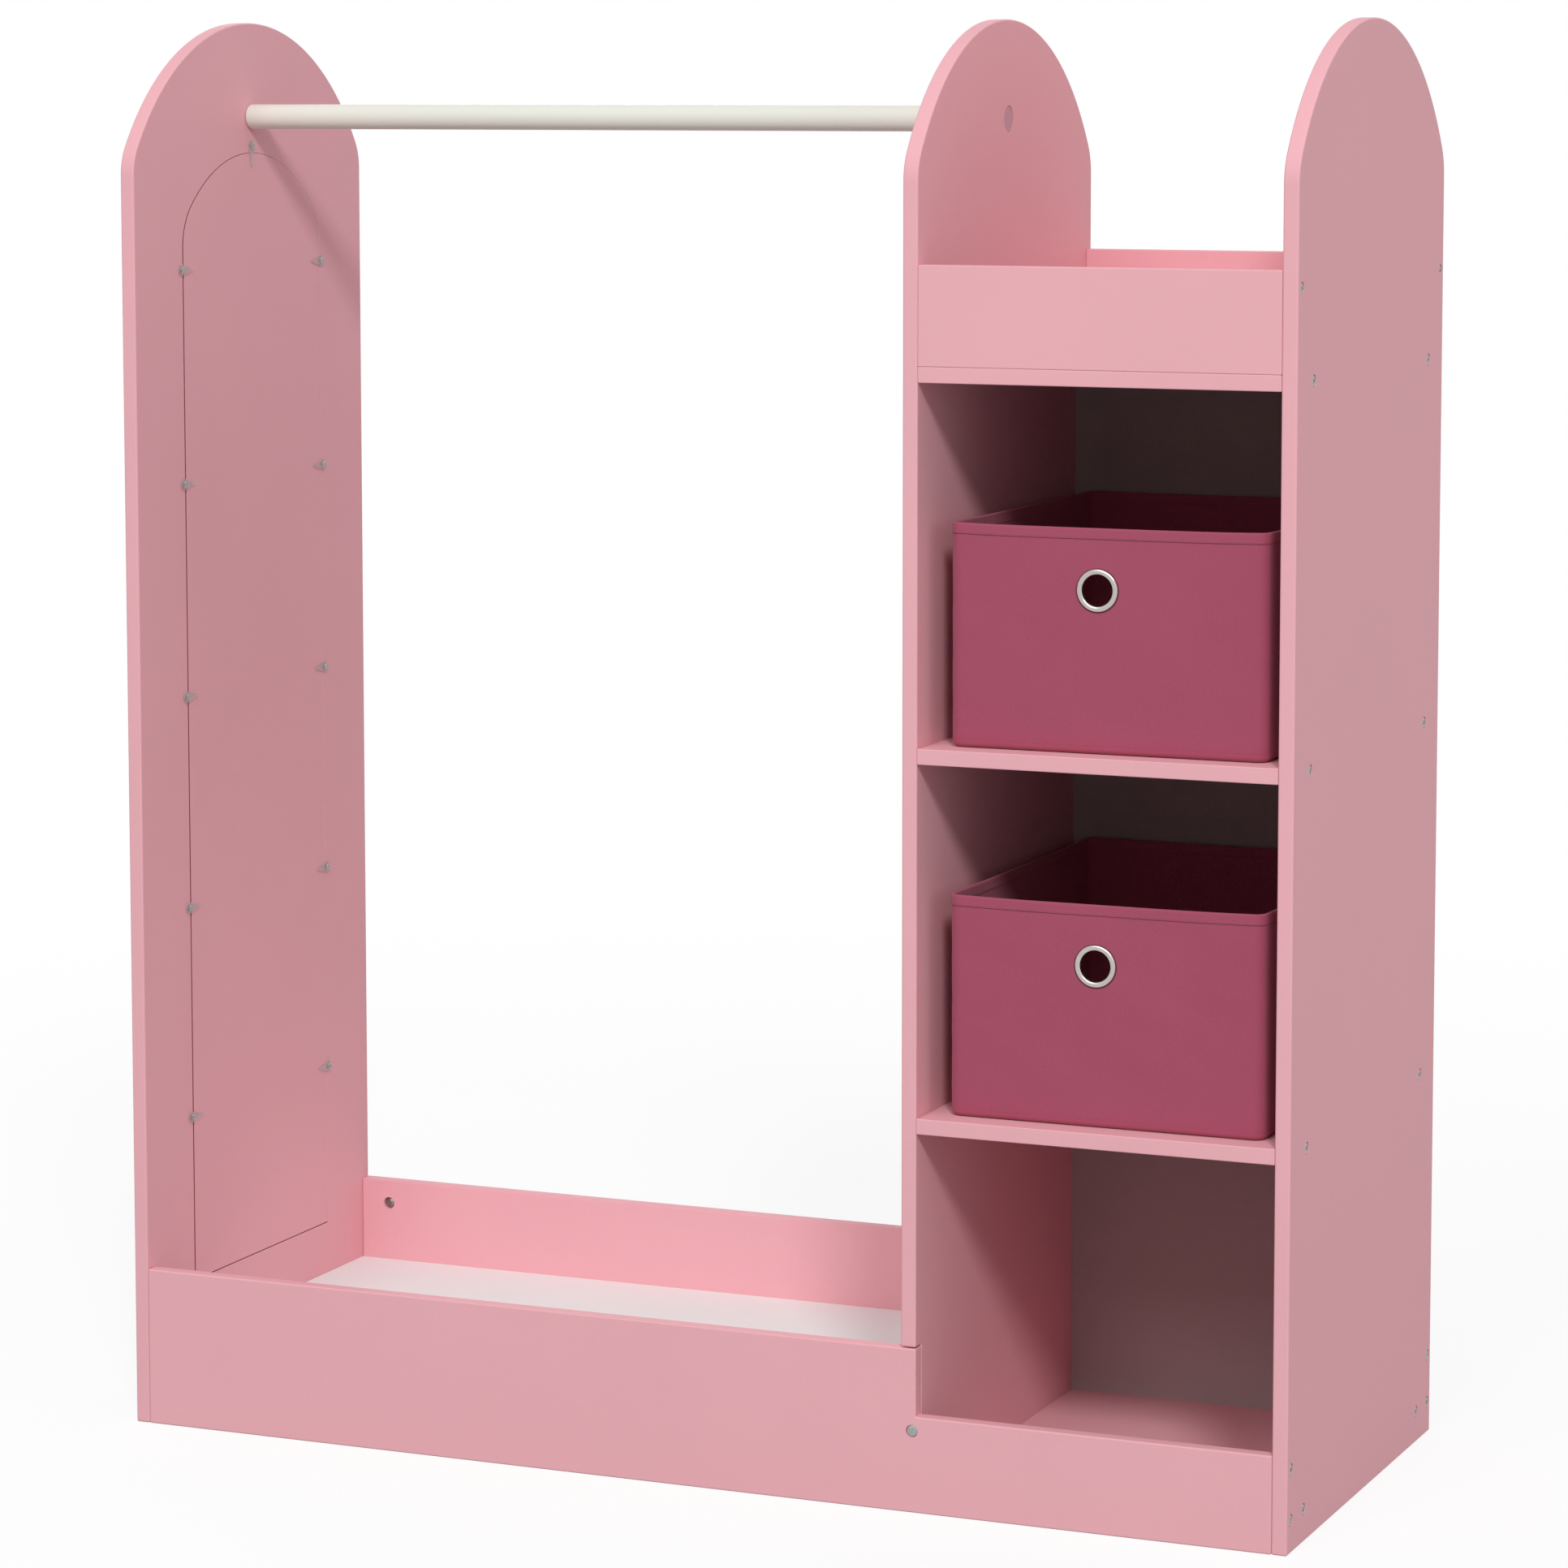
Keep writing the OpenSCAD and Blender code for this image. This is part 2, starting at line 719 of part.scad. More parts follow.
module barrel_nuts() {
    set_in = (board_t - nut_len) / 2;
    color(zinc) for (z = nut_zs) {
        barrel_nut(inner_front_y - set_in, -1, z);
        barrel_nut(inner_rear_y + set_in, 1, z);
    }
}

module top_tray_dowels() {
    color(beech) at_top_tray_dowels() cylinder(d = dowel_d, h = dowel_len);
}

module tray_floor_dowels() {
    color(beech) at_tray_floor_dowels() rod_x([0, 0, 0], dowel_d, dowel_len);
}

// ---- fabric boxes ----

// A rectangle with round corners, centred
module round_rect(w, d, r) {
    square([w - 2 * r, d], center = true);
    square([w, d - 2 * r], center = true);
    for (sx = [-1, 1], sy = [-1, 1]) translate([sx * (w / 2 - r), sy * (d / 2 - r)]) circle(r = r);
}

module box_fabric(z) {
    color(raspberry) difference() {
        translate([box_mid_x, box_mid_y, z]) linear_extrude(box_h) round_rect(box_w, box_d, box_corner_r);
        translate([box_mid_x, box_mid_y, z + box_wall]) linear_extrude(box_h)
            round_rect(box_w - 2 * box_wall, box_d - 2 * box_wall, box_corner_r - box_wall);
        rod_y([box_mid_x + ring_offset, box_front_y - over, z + ring_z],
            2 * (sleeve_r + screw_play), box_wall + 2 * over);
    }
}

module box_base(z) {
    inset = 2 * (box_wall + box_base_play);
    color(card) translate([box_mid_x, box_mid_y, z + box_wall]) linear_extrude(box_base_t)
        round_rect(box_w - inset, box_d - inset, box_corner_r - box_wall);
}

module box_ring(z) {
    color(zinc) translate([box_mid_x + ring_offset, box_front_y, z + ring_z])
        rotate([-90, 0, 0]) difference() {
            union() {
                translate([0, 0, -ring_flange]) cylinder(d = ring_od, h = ring_flange);
                cylinder(r = sleeve_r, h = box_wall);
                translate([0, 0, box_wall]) cylinder(d = ring_od * 0.92, h = ring_washer);
            }
            translate([0, 0, -ring_flange - over])
                cylinder(d = ring_id, h = ring_flange + box_wall + ring_washer + 2 * over);
        }
}

module upper_box_fabric() { box_fabric(upper_box_z); }
module upper_box_base() { box_base(upper_box_z); }
module upper_box_ring() { box_ring(upper_box_z); }
module lower_box_fabric() { box_fabric(lower_box_z); }
module lower_box_base() { box_base(lower_box_z); }
module lower_box_ring() { box_ring(lower_box_z); }

left_side_panel();
mirror_glass();
mirror_backing();
mirror_clip_screws();
side_clip(-1, 1);  // mirror_clip_front_1
side_clip(-1, 2);  // mirror_clip_front_2
side_clip(-1, 3);  // mirror_clip_front_3
side_clip(-1, 4);  // mirror_clip_front_4
side_clip(-1, 5);  // mirror_clip_front_5
side_clip(1, 1);  // mirror_clip_rear_1
side_clip(1, 2);  // mirror_clip_rear_2
side_clip(1, 3);  // mirror_clip_rear_3
side_clip(1, 4);  // mirror_clip_rear_4
side_clip(1, 5);  // mirror_clip_rear_5
mirror_clip_top();
middle_panel();
right_side_panel();
front_base_board();
rear_base_board();
tray_floor();
cabinet_floor();
floor_cleat();
lower_shelf();
upper_shelf();
top_shelf();
top_front_lip();
top_rear_rail();
lower_back_panel();
middle_back_panel();
upper_back_panel();
hanging_rod();
rod_end_cap();
rod_screw();
right_panel_screws();
middle_panel_screws();
base_board_screws();
cleat_screws();
panel_bolts();
barrel_nuts();
top_tray_dowels();
tray_floor_dowels();
upper_box_fabric();
upper_box_base();
upper_box_ring();
lower_box_fabric();
lower_box_base();
lower_box_ring();
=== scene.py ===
import math

import bmesh
import bpy
from mathutils import Matrix, Vector


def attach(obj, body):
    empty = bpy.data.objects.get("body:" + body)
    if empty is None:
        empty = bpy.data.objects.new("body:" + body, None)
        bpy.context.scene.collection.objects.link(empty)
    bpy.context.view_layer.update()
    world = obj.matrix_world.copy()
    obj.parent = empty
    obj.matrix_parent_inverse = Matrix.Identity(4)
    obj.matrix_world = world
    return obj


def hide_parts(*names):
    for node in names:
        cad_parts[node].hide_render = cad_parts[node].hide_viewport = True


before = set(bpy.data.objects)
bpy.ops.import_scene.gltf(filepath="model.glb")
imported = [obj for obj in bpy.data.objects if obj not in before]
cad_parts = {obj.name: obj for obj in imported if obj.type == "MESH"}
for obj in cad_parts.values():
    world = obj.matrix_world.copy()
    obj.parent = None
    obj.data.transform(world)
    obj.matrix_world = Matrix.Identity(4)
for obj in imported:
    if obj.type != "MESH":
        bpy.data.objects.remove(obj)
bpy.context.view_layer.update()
mm = 0.001
print("frame loaded:", len(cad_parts), "nodes")


def addObject(name, data, material=None):
    piece = bpy.data.objects.new(name, data)
    bpy.context.scene.collection.objects.link(piece)
    if material:
        data.materials.append(material)
    return piece


# camera

cameraSettings = {
    "place": (1.56238, -3.66809, 1.07938),
    "yaw": 0.40193,       # turn towards the mirror side
    "pitch": -0.09875,    # a little down
    "roll": -0.00063,
    "lens": 116.50, "sensor": 36.0, "seesTo": 50.0,
    "shiftY": -0.1318,    # the photo is cropped lower than its optical axis
}


def addCamera(s):
    data = bpy.data.cameras.new("photoCamera")
    data.lens, data.sensor_width, data.clip_end = s["lens"], s["sensor"], s["seesTo"]
    data.shift_y = s["shiftY"]
    camera = addObject("photoCamera", data)
    turn = Matrix.Rotation(s["yaw"], 4, "Z") @ Matrix.Rotation(math.pi / 2 + s["pitch"], 4, "X")
    camera.matrix_world = Matrix.Translation(s["place"]) @ turn @ Matrix.Rotation(s["roll"], 4, "Z")
    bpy.context.scene.camera = camera


addCamera(cameraSettings)


# shader and geometry node writing

class Wire:
    # an output socket of a node tree, so that maths on it reads as a sum
    def __init__(self, tree, socket=None):
        self.tree, self.socket = tree, socket

    def node(self, kind, settings=None, inputs=None, output=0):
        made = self.tree.nodes.new(kind)
        for name, value in (settings or {}).items():
            setattr(made, name, value)
        for key, value in (inputs or {}).items():
            for one in value if isinstance(value, list) else [value]:
                if isinstance(one, Wire):
                    self.tree.links.new(one.socket, made.inputs[key])
                else:
                    made.inputs[key].default_value = one
        return Wire(self.tree, made.outputs[output]) if len(made.outputs) else made

    def other(self, name):
        # another output of the same node
        return Wire(self.tree, self.socket.node.outputs[name])

    def sum(self, operation, first, second=0.0, clamp=False):
        settings = {"operation": operation, "use_clamp": clamp}
        return self.node("ShaderNodeMath", settings, {0: first, 1: second})

    def __add__(self, other):
        return self.sum("ADD", self, other)

    def __radd__(self, other):
        return self.sum("ADD", other, self)

    def __sub__(self, other):
        return self.sum("SUBTRACT", self, other)

    def __rsub__(self, other):
        return self.sum("SUBTRACT", other, self)

    def __mul__(self, other):
        return self.sum("MULTIPLY", self, other)

    def __truediv__(self, other):
        return self.sum("DIVIDE", self, other)

    def mixed(self, low, high):
        return self.node("ShaderNodeMix", {"data_type": "RGBA"}, {0: self, 6: low, 7: high}, 2)

    def vector(self, x=0.0, y=0.0, z=0.0):
        return self.node("ShaderNodeCombineXYZ", {}, {0: x, 1: y, 2: z})

    def moved(self, shape, x=0.0, z=0.0):
        inputs = {"Geometry": shape, "Translation": self.vector(x, z=z)}
        return self.node("GeometryNodeTransform", {}, inputs)


def bareTree(owner):
    # the emptied node tree of a material or a world
    owner.use_nodes = True
    owner.node_tree.nodes.clear()
    return Wire(owner.node_tree)


def tone(red, green, blue, gain=1.0):
    # a colour as it is seen on a screen, 0 to 255, made linear
    linear = []
    for value in (red, green, blue):
        v = value / 255
        v = v / 12.92 if v <= 0.04045 else ((v + 0.055) / 1.055) ** 2.4
        linear.append(min(1.0, v * gain))
    return (*linear, 1.0)


def newMaterial(name, settings):
    material = bpy.data.materials.new(name)
    start = bareTree(material)
    shader = start.tree.nodes.new("ShaderNodeBsdfPrincipled")
    for socket, value in settings.items():
        shader.inputs[socket].default_value = value
    output = start.tree.nodes.new("ShaderNodeOutputMaterial")
    start.tree.links.new(shader.outputs[0], output.inputs["Surface"])
    return material, start, shader


def plug(wire, shader, socket):
    wire.tree.links.new(wire.socket, shader.inputs[socket])


def objectPlace(start):
    return start.node("ShaderNodeTexCoord", output="Object")


def noise(start, place, scale, detail=2.0, rough=0.5):
    inputs = {"Vector": place, "Scale": scale, "Detail": detail, "Roughness": rough}
    return start.node("ShaderNodeTexNoise", {}, inputs)


def bumped(start, height, strength, distance):
    return start.node("ShaderNodeBump", {}, {"Strength": strength, "Distance": distance, "Height": height})


# finishes

def paintFinish(name, colour, s, shadeBelowX=None):
    # rolled paint: faint clouds of shade, a fine pebbled skin; below an x the board is coloured darker, as
    # painted shade in the narrow gap round the mirror backing
    material, start, shader = newMaterial(name, {"IOR": 1.45, "Specular IOR Level": s["specular"]})
    place = objectPlace(start)
    clouds = noise(start, place, s["cloudScale"], 3.0, 0.55)
    fine = noise(start, place, s["pebbleScale"])
    shade = (clouds - 0.5) * s["cloudDepth"] + (fine - 0.5) * s["speckDepth"] + 0.5
    paint = shade.mixed(tone(*colour, 1 - s["spread"]), tone(*colour, 1 + s["spread"]))
    if shadeBelowX is not None:
        across = start.node("ShaderNodeSeparateXYZ", {}, {0: place})
        # painted shade: below the x the board takes a dark colour, standing in for the shade in the gap
        # round it
        paint = start.sum("LESS_THAN", across, shadeBelowX).mixed(paint, tone(*s["paintedGapTone"]))
    plug(paint, shader, "Base Color")
    sheen = s["roughness"] + (clouds - 0.5) * s["cloudSheen"] + (fine - 0.5) * s["speckSheen"]
    plug(sheen, shader, "Roughness")
    plug(bumped(start, fine, s["pebble"], s["pebbleHigh"] * mm), shader, "Normal")
    return material


boardPaint = {
    "specular": 0.02, "roughness": 0.46, "spread": 0.035,
    "cloudScale": 7.0, "cloudDepth": 0.9, "cloudSheen": 0.10,
    "pebbleScale": 620.0, "speckDepth": 0.5, "speckSheen": 0.06, "pebble": 0.22, "pebbleHigh": 0.2,
    # the dark colour of the painted shade in the gap round the mirror backing
    "paintedGapTone": (165, 90, 98),
}
pinkTone = (234, 176, 184)
pinkPaint = paintFinish("pinkPaint", pinkTone, boardPaint)
creamPaint = paintFinish("creamPaint", (227, 227, 217), {**boardPaint, "specular": 0.1, "roughness": 0.38})
whiteBoard = paintFinish("whiteBoard", (241, 243, 242), {**boardPaint, "roughness": 0.5, "pebble": 0.1})
backBoard = paintFinish("backBoard", (177, 163, 162),
                        {**boardPaint, "roughness": 0.62, "spread": 0.06, "pebble": 0.3})


def wornFinish(name, colour, s, settings):
    # plated steel or moulded plastic: faint clouds of shade, and a finer wear in the gloss
    material, start, shader = newMaterial(name, settings)
    place = objectPlace(start)
    clouds = noise(start, place, s["cloudScale"], *s["cloudGrain"])
    fine = noise(start, place, s["fineScale"], *s["fineGrain"])
    plug(clouds.mixed(tone(*colour, s["darkest"]), tone(*colour, s["lightest"])), shader, "Base Color")
    plug(s["roughness"] + (fine - 0.5) * s["wear"], shader, "Roughness")
    plug(bumped(start, fine, s["bump"], s["bumpHigh"] * mm), shader, "Normal")
    return material


plated = {
    "darkest": 0.82, "lightest": 1.12, "roughness": 0.34, "wear": 0.2, "bump": 0.12, "bumpHigh": 0.05,
    "cloudScale": 420.0, "cloudGrain": (3.0, 0.6), "fineScale": 2600.0, "fineGrain": (2.0, 0.6),
}
moulded = {
    "darkest": 0.93, "lightest": 1.06, "roughness": 0.5, "wear": 0.1, "bump": 0.08, "bumpHigh": 0.05,
    "cloudScale": 260.0, "cloudGrain": (2.0, 0.5), "fineScale": 1500.0, "fineGrain": (2.0, 0.5),
}
metal, plastic = {"Metallic": 1.0}, {"IOR": 1.49}
zincSteel = wornFinish("zincSteel", (166, 167, 165), plated, metal)
ringMetal = wornFinish("ringMetal", (192, 187, 182),
                       {**plated, "cloudScale": 160.0, "fineScale": 1800.0, "roughness": 0.27}, metal)
clipPlastic = wornFinish("clipPlastic", (214, 198, 200), {**moulded, "roughness": 0.4},
                         {**plastic, "Alpha": 0.34, "Coat Weight": 0.1})
mauvePlastic = wornFinish("mauvePlastic", (190, 138, 152), moulded, plastic)


beech = {"stretch": (40.0, 900.0, 40.0), "dark": (186, 150, 104), "light": (222, 190, 146), "roughness": 0.6,
         "bump": 0.2, "bumpHigh": 0.1}


def beechFinish(s):
    material, start, shader = newMaterial("beechWood", {"Roughness": s["roughness"]})
    stretched = start.node("ShaderNodeMapping", {}, {"Vector": objectPlace(start), "Scale": s["stretch"]})
    grain = noise(start, stretched, 1.0, 4.0, 0.6)
    plug(grain.mixed(tone(*s["dark"]), tone(*s["light"])), shader, "Base Color")
    plug(bumped(start, grain, s["bump"], s["bumpHigh"] * mm), shader, "Normal")
    return material


beechWood = beechFinish(beech)


mirrorLook = {"silverRough": 0.012, "paintRough": 0.4, "haze": 0.02, "hazeScale": 5.0,
              "rearPaint": (226, 160, 168)}


def mirrorFinish(paintedAbove, s):
    # silvered glass with the faintest haze; its rear, from an x on, has a protective paint
    material, start, shader = newMaterial("mirrorSilver", {})
    place = objectPlace(start)
    haze = noise(start, place, s["hazeScale"], 3.0)
    across = start.node("ShaderNodeSeparateXYZ", {}, {0: place})
    silvered = start.sum("LESS_THAN", across, paintedAbove)
    silver = haze.mixed(tone(232, 236, 238), tone(240, 243, 244))
    plug(silvered.mixed(tone(*s["rearPaint"]), silver), shader, "Base Color")
    plug(silvered, shader, "Metallic")
    polish = s["paintRough"] - s["silverRough"]
    plug(s["paintRough"] - silvered * polish + haze * s["haze"], shader, "Roughness")
    return material


def feltFinish(name, colour, s, paintedShading=()):
    # felted cloth with a fine pressed cross weave, on the piece's own cloth map in metres; lines of painted
    # shade darken it along the hem's seam and round the ring
    settings = {"Sheen Weight": s["sheen"], "Sheen Roughness": 0.5, "Specular IOR Level": s["specular"]}
    material, start, shader = newMaterial(name, settings)
    place = start.node("ShaderNodeUVMap", {"uv_map": "cloth"})
    across = start.node("ShaderNodeSeparateXYZ", {}, {0: place})
    up = across.other("Y")
    turn = 2 * math.pi / s["weavePitch"]
    threads = start.sum("SINE", across * turn) * start.sum("SINE", up * turn)
    fuzz = noise(start, place, s["fuzzScale"], 3.0, 0.7)
    clouds = noise(start, place, s["cloudScale"], 3.0)
    shade = 0.5 + threads * s["weaveShade"] + (fuzz - 0.5) * s["fuzzShade"]
    shade += (clouds - 0.5) * s["cloudShade"]
    cloth = shade.mixed(tone(*colour, s["darkest"]), tone(*colour, s["lightest"]))
    for oneShade in paintedShading:
        if "v" in oneShade:    # painted shade along the hem's seam, all round
            away = start.sum("ABSOLUTE", up - oneShade["v"])
        else:              # painted shade round the ring, where the cloth is pressed in
            ringU, ringV = across - oneShade["ringU"], up - oneShade["ringV"]
            away = start.sum("ABSOLUTE", start.sum("SQRT", ringU * ringU + ringV * ringV) - oneShade["radius"])
        near = start.sum("SUBTRACT", 1.0, away / oneShade["wide"], clamp=True)
        # painted shade: the cloth darkened near the seam and round the ring
        cloth = (near * oneShade["depth"]).mixed(cloth, tone(*colour, s["shadeTone"]))
    plug(cloth, shader, "Base Color")
    plug(s["roughness"] + (fuzz - 0.5) * s["fuzzRough"], shader, "Roughness")
    height = threads * s["weaveHeight"] + fuzz * s["fuzzHeight"]
    plug(bumped(start, height, s["bump"], s["bumpHigh"] * mm), shader, "Normal")
    return material


raspberryCloth = {
    "sheen": 0.12, "specular": 0.15, "roughness": 0.86, "bump": 0.3, "bumpHigh": 0.3,
    "weavePitch": 0.0015, "weaveShade": 0.06, "weaveHeight": 0.25,
    "fuzzScale": 900.0, "fuzzShade": 0.5, "fuzzRough": 0.16, "fuzzHeight": 0.8,
    # shadeTone: how dark the painted shade of the seam and ring lines is, as a share of the cloth's colour
    "cloudScale": 14.0, "cloudShade": 0.5, "darkest": 0.88, "lightest": 1.12, "shadeTone": 0.12,
}
cardFelt = feltFinish("cardFelt", (120, 58, 76), {**raspberryCloth, "sheen": 0.05})
threadFinish = wornFinish("stitchThread", (174, 87, 114), {**moulded, "roughness": 0.8}, plastic)
print("finishes made")


# mesh making

def fromWork(work, name, material=None):
    # a piece from a finished bmesh, its faces turned outwards
    bmesh.ops.recalc_face_normals(work, faces=work.faces)
    mesh = bpy.data.meshes.new(name)
    work.to_mesh(mesh)
    work.free()
    return addObject(name, mesh, material)


def settled(piece):
    # the mesh with its modifiers worked out, kept as a plain mesh
    bpy.context.view_layer.update()
    graph = bpy.context.evaluated_depsgraph_get()
    shape = piece.evaluated_get(graph)
    mesh = bpy.data.meshes.new_from_object(shape, preserve_all_data_layers=True, depsgraph=graph)
    piece.modifiers.clear()
    piece.data = mesh
    mesh.name = piece.name
    return piece


def laid(axis, a, b, level, place=(0, 0, 0)):
    # a point in metres: (a, b) in a plane at a level along an axis, from a place; sizes in mm
    flat = {"x": (level, a, b), "y": (a, level, b), "z": (a, b, level)}[axis]
    return [(v + p) * mm for v, p in zip(flat, place)]


def slab(name, outline, axis, low, high, material):
    # a closed outline in a plane, pushed from low to high along the axis
    work = bmesh.new()
    ends = [[work.verts.new(laid(axis, a, b, level)) for a, b in outline] for level in (low, high)]
    work.faces.new(ends[0])
    work.faces.new(ends[1])
    for i in range(len(outline)):
        j = (i + 1) % len(outline)
        work.faces.new((ends[0][i], ends[0][j], ends[1][j], ends[1][i]))
    return fromWork(work, name, material)


def arc(a, b, radius, start, end, steps):
    turns = [start + (end - start) * i / steps for i in range(steps + 1)]
    return [(a + radius * math.cos(t), b + radius * math.sin(t)) for t in turns]


def circle(radius, steps):
    return arc(0, 0, radius, 0, 2 * math.pi, steps)[:-1]


def archPoints(s, inset=0.0):
    # the arched top: small shoulder arcs, then one wide crown arc, from right to left
    half, top = s["width"] / 2 - inset, s["top"] - inset
    crown, shoulder = s["crown"] - inset, s["shoulder"] - inset
    side, centre = half - shoulder, top - crown
    spring = centre + math.sqrt((crown - shoulder) ** 2 - side ** 2)
    lean = math.atan2(spring - centre, side)
    right = arc(side, spring, shoulder, 0, lean, 10)
    middle = arc(0, centre, crown, lean, math.pi - lean, 56)[1:-1]
    left = arc(-side, spring, shoulder, math.pi - lean, math.pi, 10)
    return right + middle + left


def drum(place, axis, radius, length, steps=32):
    # one closed cylinder as (points, faces), from a place along an axis
    points = [laid(axis, a, b, level, place) for level in (0, length) for a, b in circle(radius, steps)]
    faces = [tuple(range(steps)), tuple(range(steps, 2 * steps))]
    faces += [(i, (i + 1) % steps, (i + 1) % steps + steps, i + steps) for i in range(steps)]
    return points, faces


def cutAway(piece, drums):
    # takes a set of round holes out of a piece in one go
    work = bmesh.new()
    for points, faces in drums:
        verts = [work.verts.new(p) for p in points]
        for face in faces:
            work.faces.new([verts[i] for i in face])
    return carve(piece, fromWork(work, "cutter"))


def carve(piece, cutter):
    modifier = piece.modifiers.new("cut", "BOOLEAN")
    modifier.operation, modifier.solver, modifier.object = "DIFFERENCE", "EXACT", cutter
    settled(piece)
    bpy.data.objects.remove(cutter)
    return piece


def eased(piece, width, segments=3):
    # rounds every sharp edge by a width in mm
    modifier = piece.modifiers.new("ease", "BEVEL")
    modifier.width, modifier.segments = width * mm, segments
    modifier.limit_method, modifier.angle_limit = "ANGLE", math.radians(38)
    modifier.use_clamp_overlap = True
    return settled(piece)


def smoothed(piece, degrees=40, weighted=True):
    mesh = piece.data
    mesh.shade_smooth()
    mesh.set_sharp_from_angle(angle=math.radians(degrees))
    if weighted:
        modifier = piece.modifiers.new("faces", "WEIGHTED_NORMAL")
        modifier.keep_sharp, modifier.weight = True, 60
        settled(piece)
    return piece


def lathe(name, profile, axis, centre, material, steps=64):
    # a profile of (radius, level) turned about an axis, closed at radius 0
    work = bmesh.new()
    closed = profile[0] == profile[-1]
    rings = []
    for radius, level in profile[:-1] if closed else profile:
        spots = circle(radius, steps) if radius else [(0, 0)]
        rings.append([work.verts.new(laid(axis, a, b, level, centre)) for a, b in spots])
    pairs = list(zip(rings, rings[1:] + rings[:1])) if closed else list(zip(rings, rings[1:]))
    for one, two in pairs:
        for i in range(steps):
            j = (i + 1) % steps
            corners = [one[i % len(one)], one[j % len(one)], two[j % len(two)], two[i % len(two)]]
            unique = list(dict.fromkeys(corners))
            if len(unique) > 2:
                work.faces.new(unique)
    return smoothed(fromWork(work, name, material), 35, False)


def nodeOf(name):
    # a piece stands in for the node of its own name, as middlePanel for middle_panel
    return "".join("_" + c.lower() if c.isupper() or c.isdigit() else c for c in name)


def onUnit(piece, body="unit_frame", hasNode=True):
    if hasNode:
        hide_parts(nodeOf(piece.name))
    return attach(piece, body)


# side panels

sidePanels = {
    "arch": {"width": 380.0, "top": 1121.5, "crown": 220.0, "shoulder": 40.0},
    "thick": 12.0,
    "edgeEase": 1.5,
    "leftX": -483.0, "middleX": 179.0, "rightX": 471.0,
    "notchTop": 127.0, "notchDeep": 12.0,
    "holeRadius": 4.75,    # a little wider than the screw heads, so that a thin dark rim shows
    "holeDeep": 3.0,
    "boltHoleRadius": 5.3, "boltHoleDeep": 2.0, "rodHoleRadius": 10.1,
    "frontScrewY": 181.0, "innerScrewY": 150.0,
    "shelfScrewZs": (296.0, 575.0, 859.0), "lipScrewZ": 927.0,
}
over = 1.0    # how far a hole's cutter reaches out of a board
cutOut = {
    "arch": {"width": 229.0, "top": 1016.0, "crown": 142.0, "shoulder": 48.0},
    "bottom": 100.0,
    "lip": 8.0,            # the mirror rests on it
    "deep": 6.0, "edgeEase": 0.3,
    "cutter": (-5.0, 20.0),    # its two ends, from the panel's outer face
}
boltSpots = [(side * 184.0, z) for side in (-1, 1) for z in (25.0, 106.0)]    # y and z
rodSpot = (0.0, 1045.5)    # y and z of the rod's axis


def screwSpots(s, x, floorZ, baseZs=()):
    # a row at the front and rear edges, and one a little further in
    rows = [(s["frontScrewY"], (*baseZs, s["lipScrewZ"])), (s["innerScrewY"], (floorZ, *s["shelfScrewZs"]))]
    return [(x, side * y, z) for y, zs in rows for side in (-1, 1) for z in zs]


rightScrews = screwSpots(sidePanels, sidePanels["rightX"] + sidePanels["thick"], 25.0, (25.0, 63.0))
middleScrews = screwSpots(sidePanels, sidePanels["middleX"], 6.0)


def panelOutline(s):
    half = s["arch"]["width"] / 2
    return [(-half, 0.0), (half, 0.0)] + archPoints(s["arch"])


def blankPanel(name, outline, x, s):
    return eased(slab(name, outline, "x", x, x + s["thick"], pinkPaint), s["edgeEase"])


def makeLeftPanel(s, c):
    x = s["leftX"]
    half = c["arch"]["width"] / 2
    panel = blankPanel("leftSidePanel", panelOutline(s), x, s)
    rabbet = [(-half, c["bottom"]), (half, c["bottom"])] + archPoints(c["arch"])
    window = [(-half + c["lip"], c["bottom"] + c["lip"]), (half - c["lip"], c["bottom"] + c["lip"])]
    window += archPoints(c["arch"], c["lip"])
    low, high = [x + reach for reach in c["cutter"]]
    carve(panel, slab("cutter", window, "x", low, high, None))
    carve(panel, slab("cutter", rabbet, "x", x + s["thick"] - c["deep"], high, None))
    eased(panel, c["edgeEase"], 2)
    holes = [drum((x - over, *p), "x", s["boltHoleRadius"], s["boltHoleDeep"] + over) for p in boltSpots]
    holes.append(drum((x - over, *rodSpot), "x", s["holeRadius"], s["holeDeep"] + over))
    return onUnit(smoothed(cutAway(panel, holes)))


def makeMiddlePanel(s):
    x, half, deep, top = s["middleX"], s["arch"]["width"] / 2, s["notchDeep"], s["notchTop"]
    outline = [(-half, top), (-half + deep, top), (-half + deep, 0.0),
               (half - deep, 0.0), (half - deep, top), (half, top)]
    panel = blankPanel("middlePanel", outline + archPoints(s["arch"]), x, s)
    holes = [drum((x - over, p[1], p[2]), "x", s["holeRadius"], s["holeDeep"] + over) for p in middleScrews]
    holes.append(drum((x - over, *rodSpot), "x", s["rodHoleRadius"], s["thick"] + 2 * over, 64))
    return onUnit(smoothed(cutAway(panel, holes)))


def makeRightPanel(s):
    panel = blankPanel("rightSidePanel", panelOutline(s), s["rightX"], s)
    deep = s["holeDeep"]
    holes = [drum((p[0] - deep, p[1], p[2]), "x", s["holeRadius"], deep + over) for p in rightScrews]
    return onUnit(smoothed(cutAway(panel, holes)))


makeLeftPanel(sidePanels, cutOut)
makeMiddlePanel(sidePanels)
makeRightPanel(sidePanels)
print("side panels made")


# mirror and its backing

mirrorSet = {
    "gap": 0.8,
    "frontGap": 2.1, "rearGap": 0.1, "topGap": 0.2,     # the backing sits up against the rear of its cut-out
    "backingX": -474.0, "mirrorX": -477.0, "thick": 3.0,
    "backingEase": 0.6, "mirrorEase": 0.8,
    "shadeDeep": 0.4, "silverDeep": 0.1,    # how far below its inner face a sheet's other finish starts: painted gap shade on the backing, rear paint on the glass
}


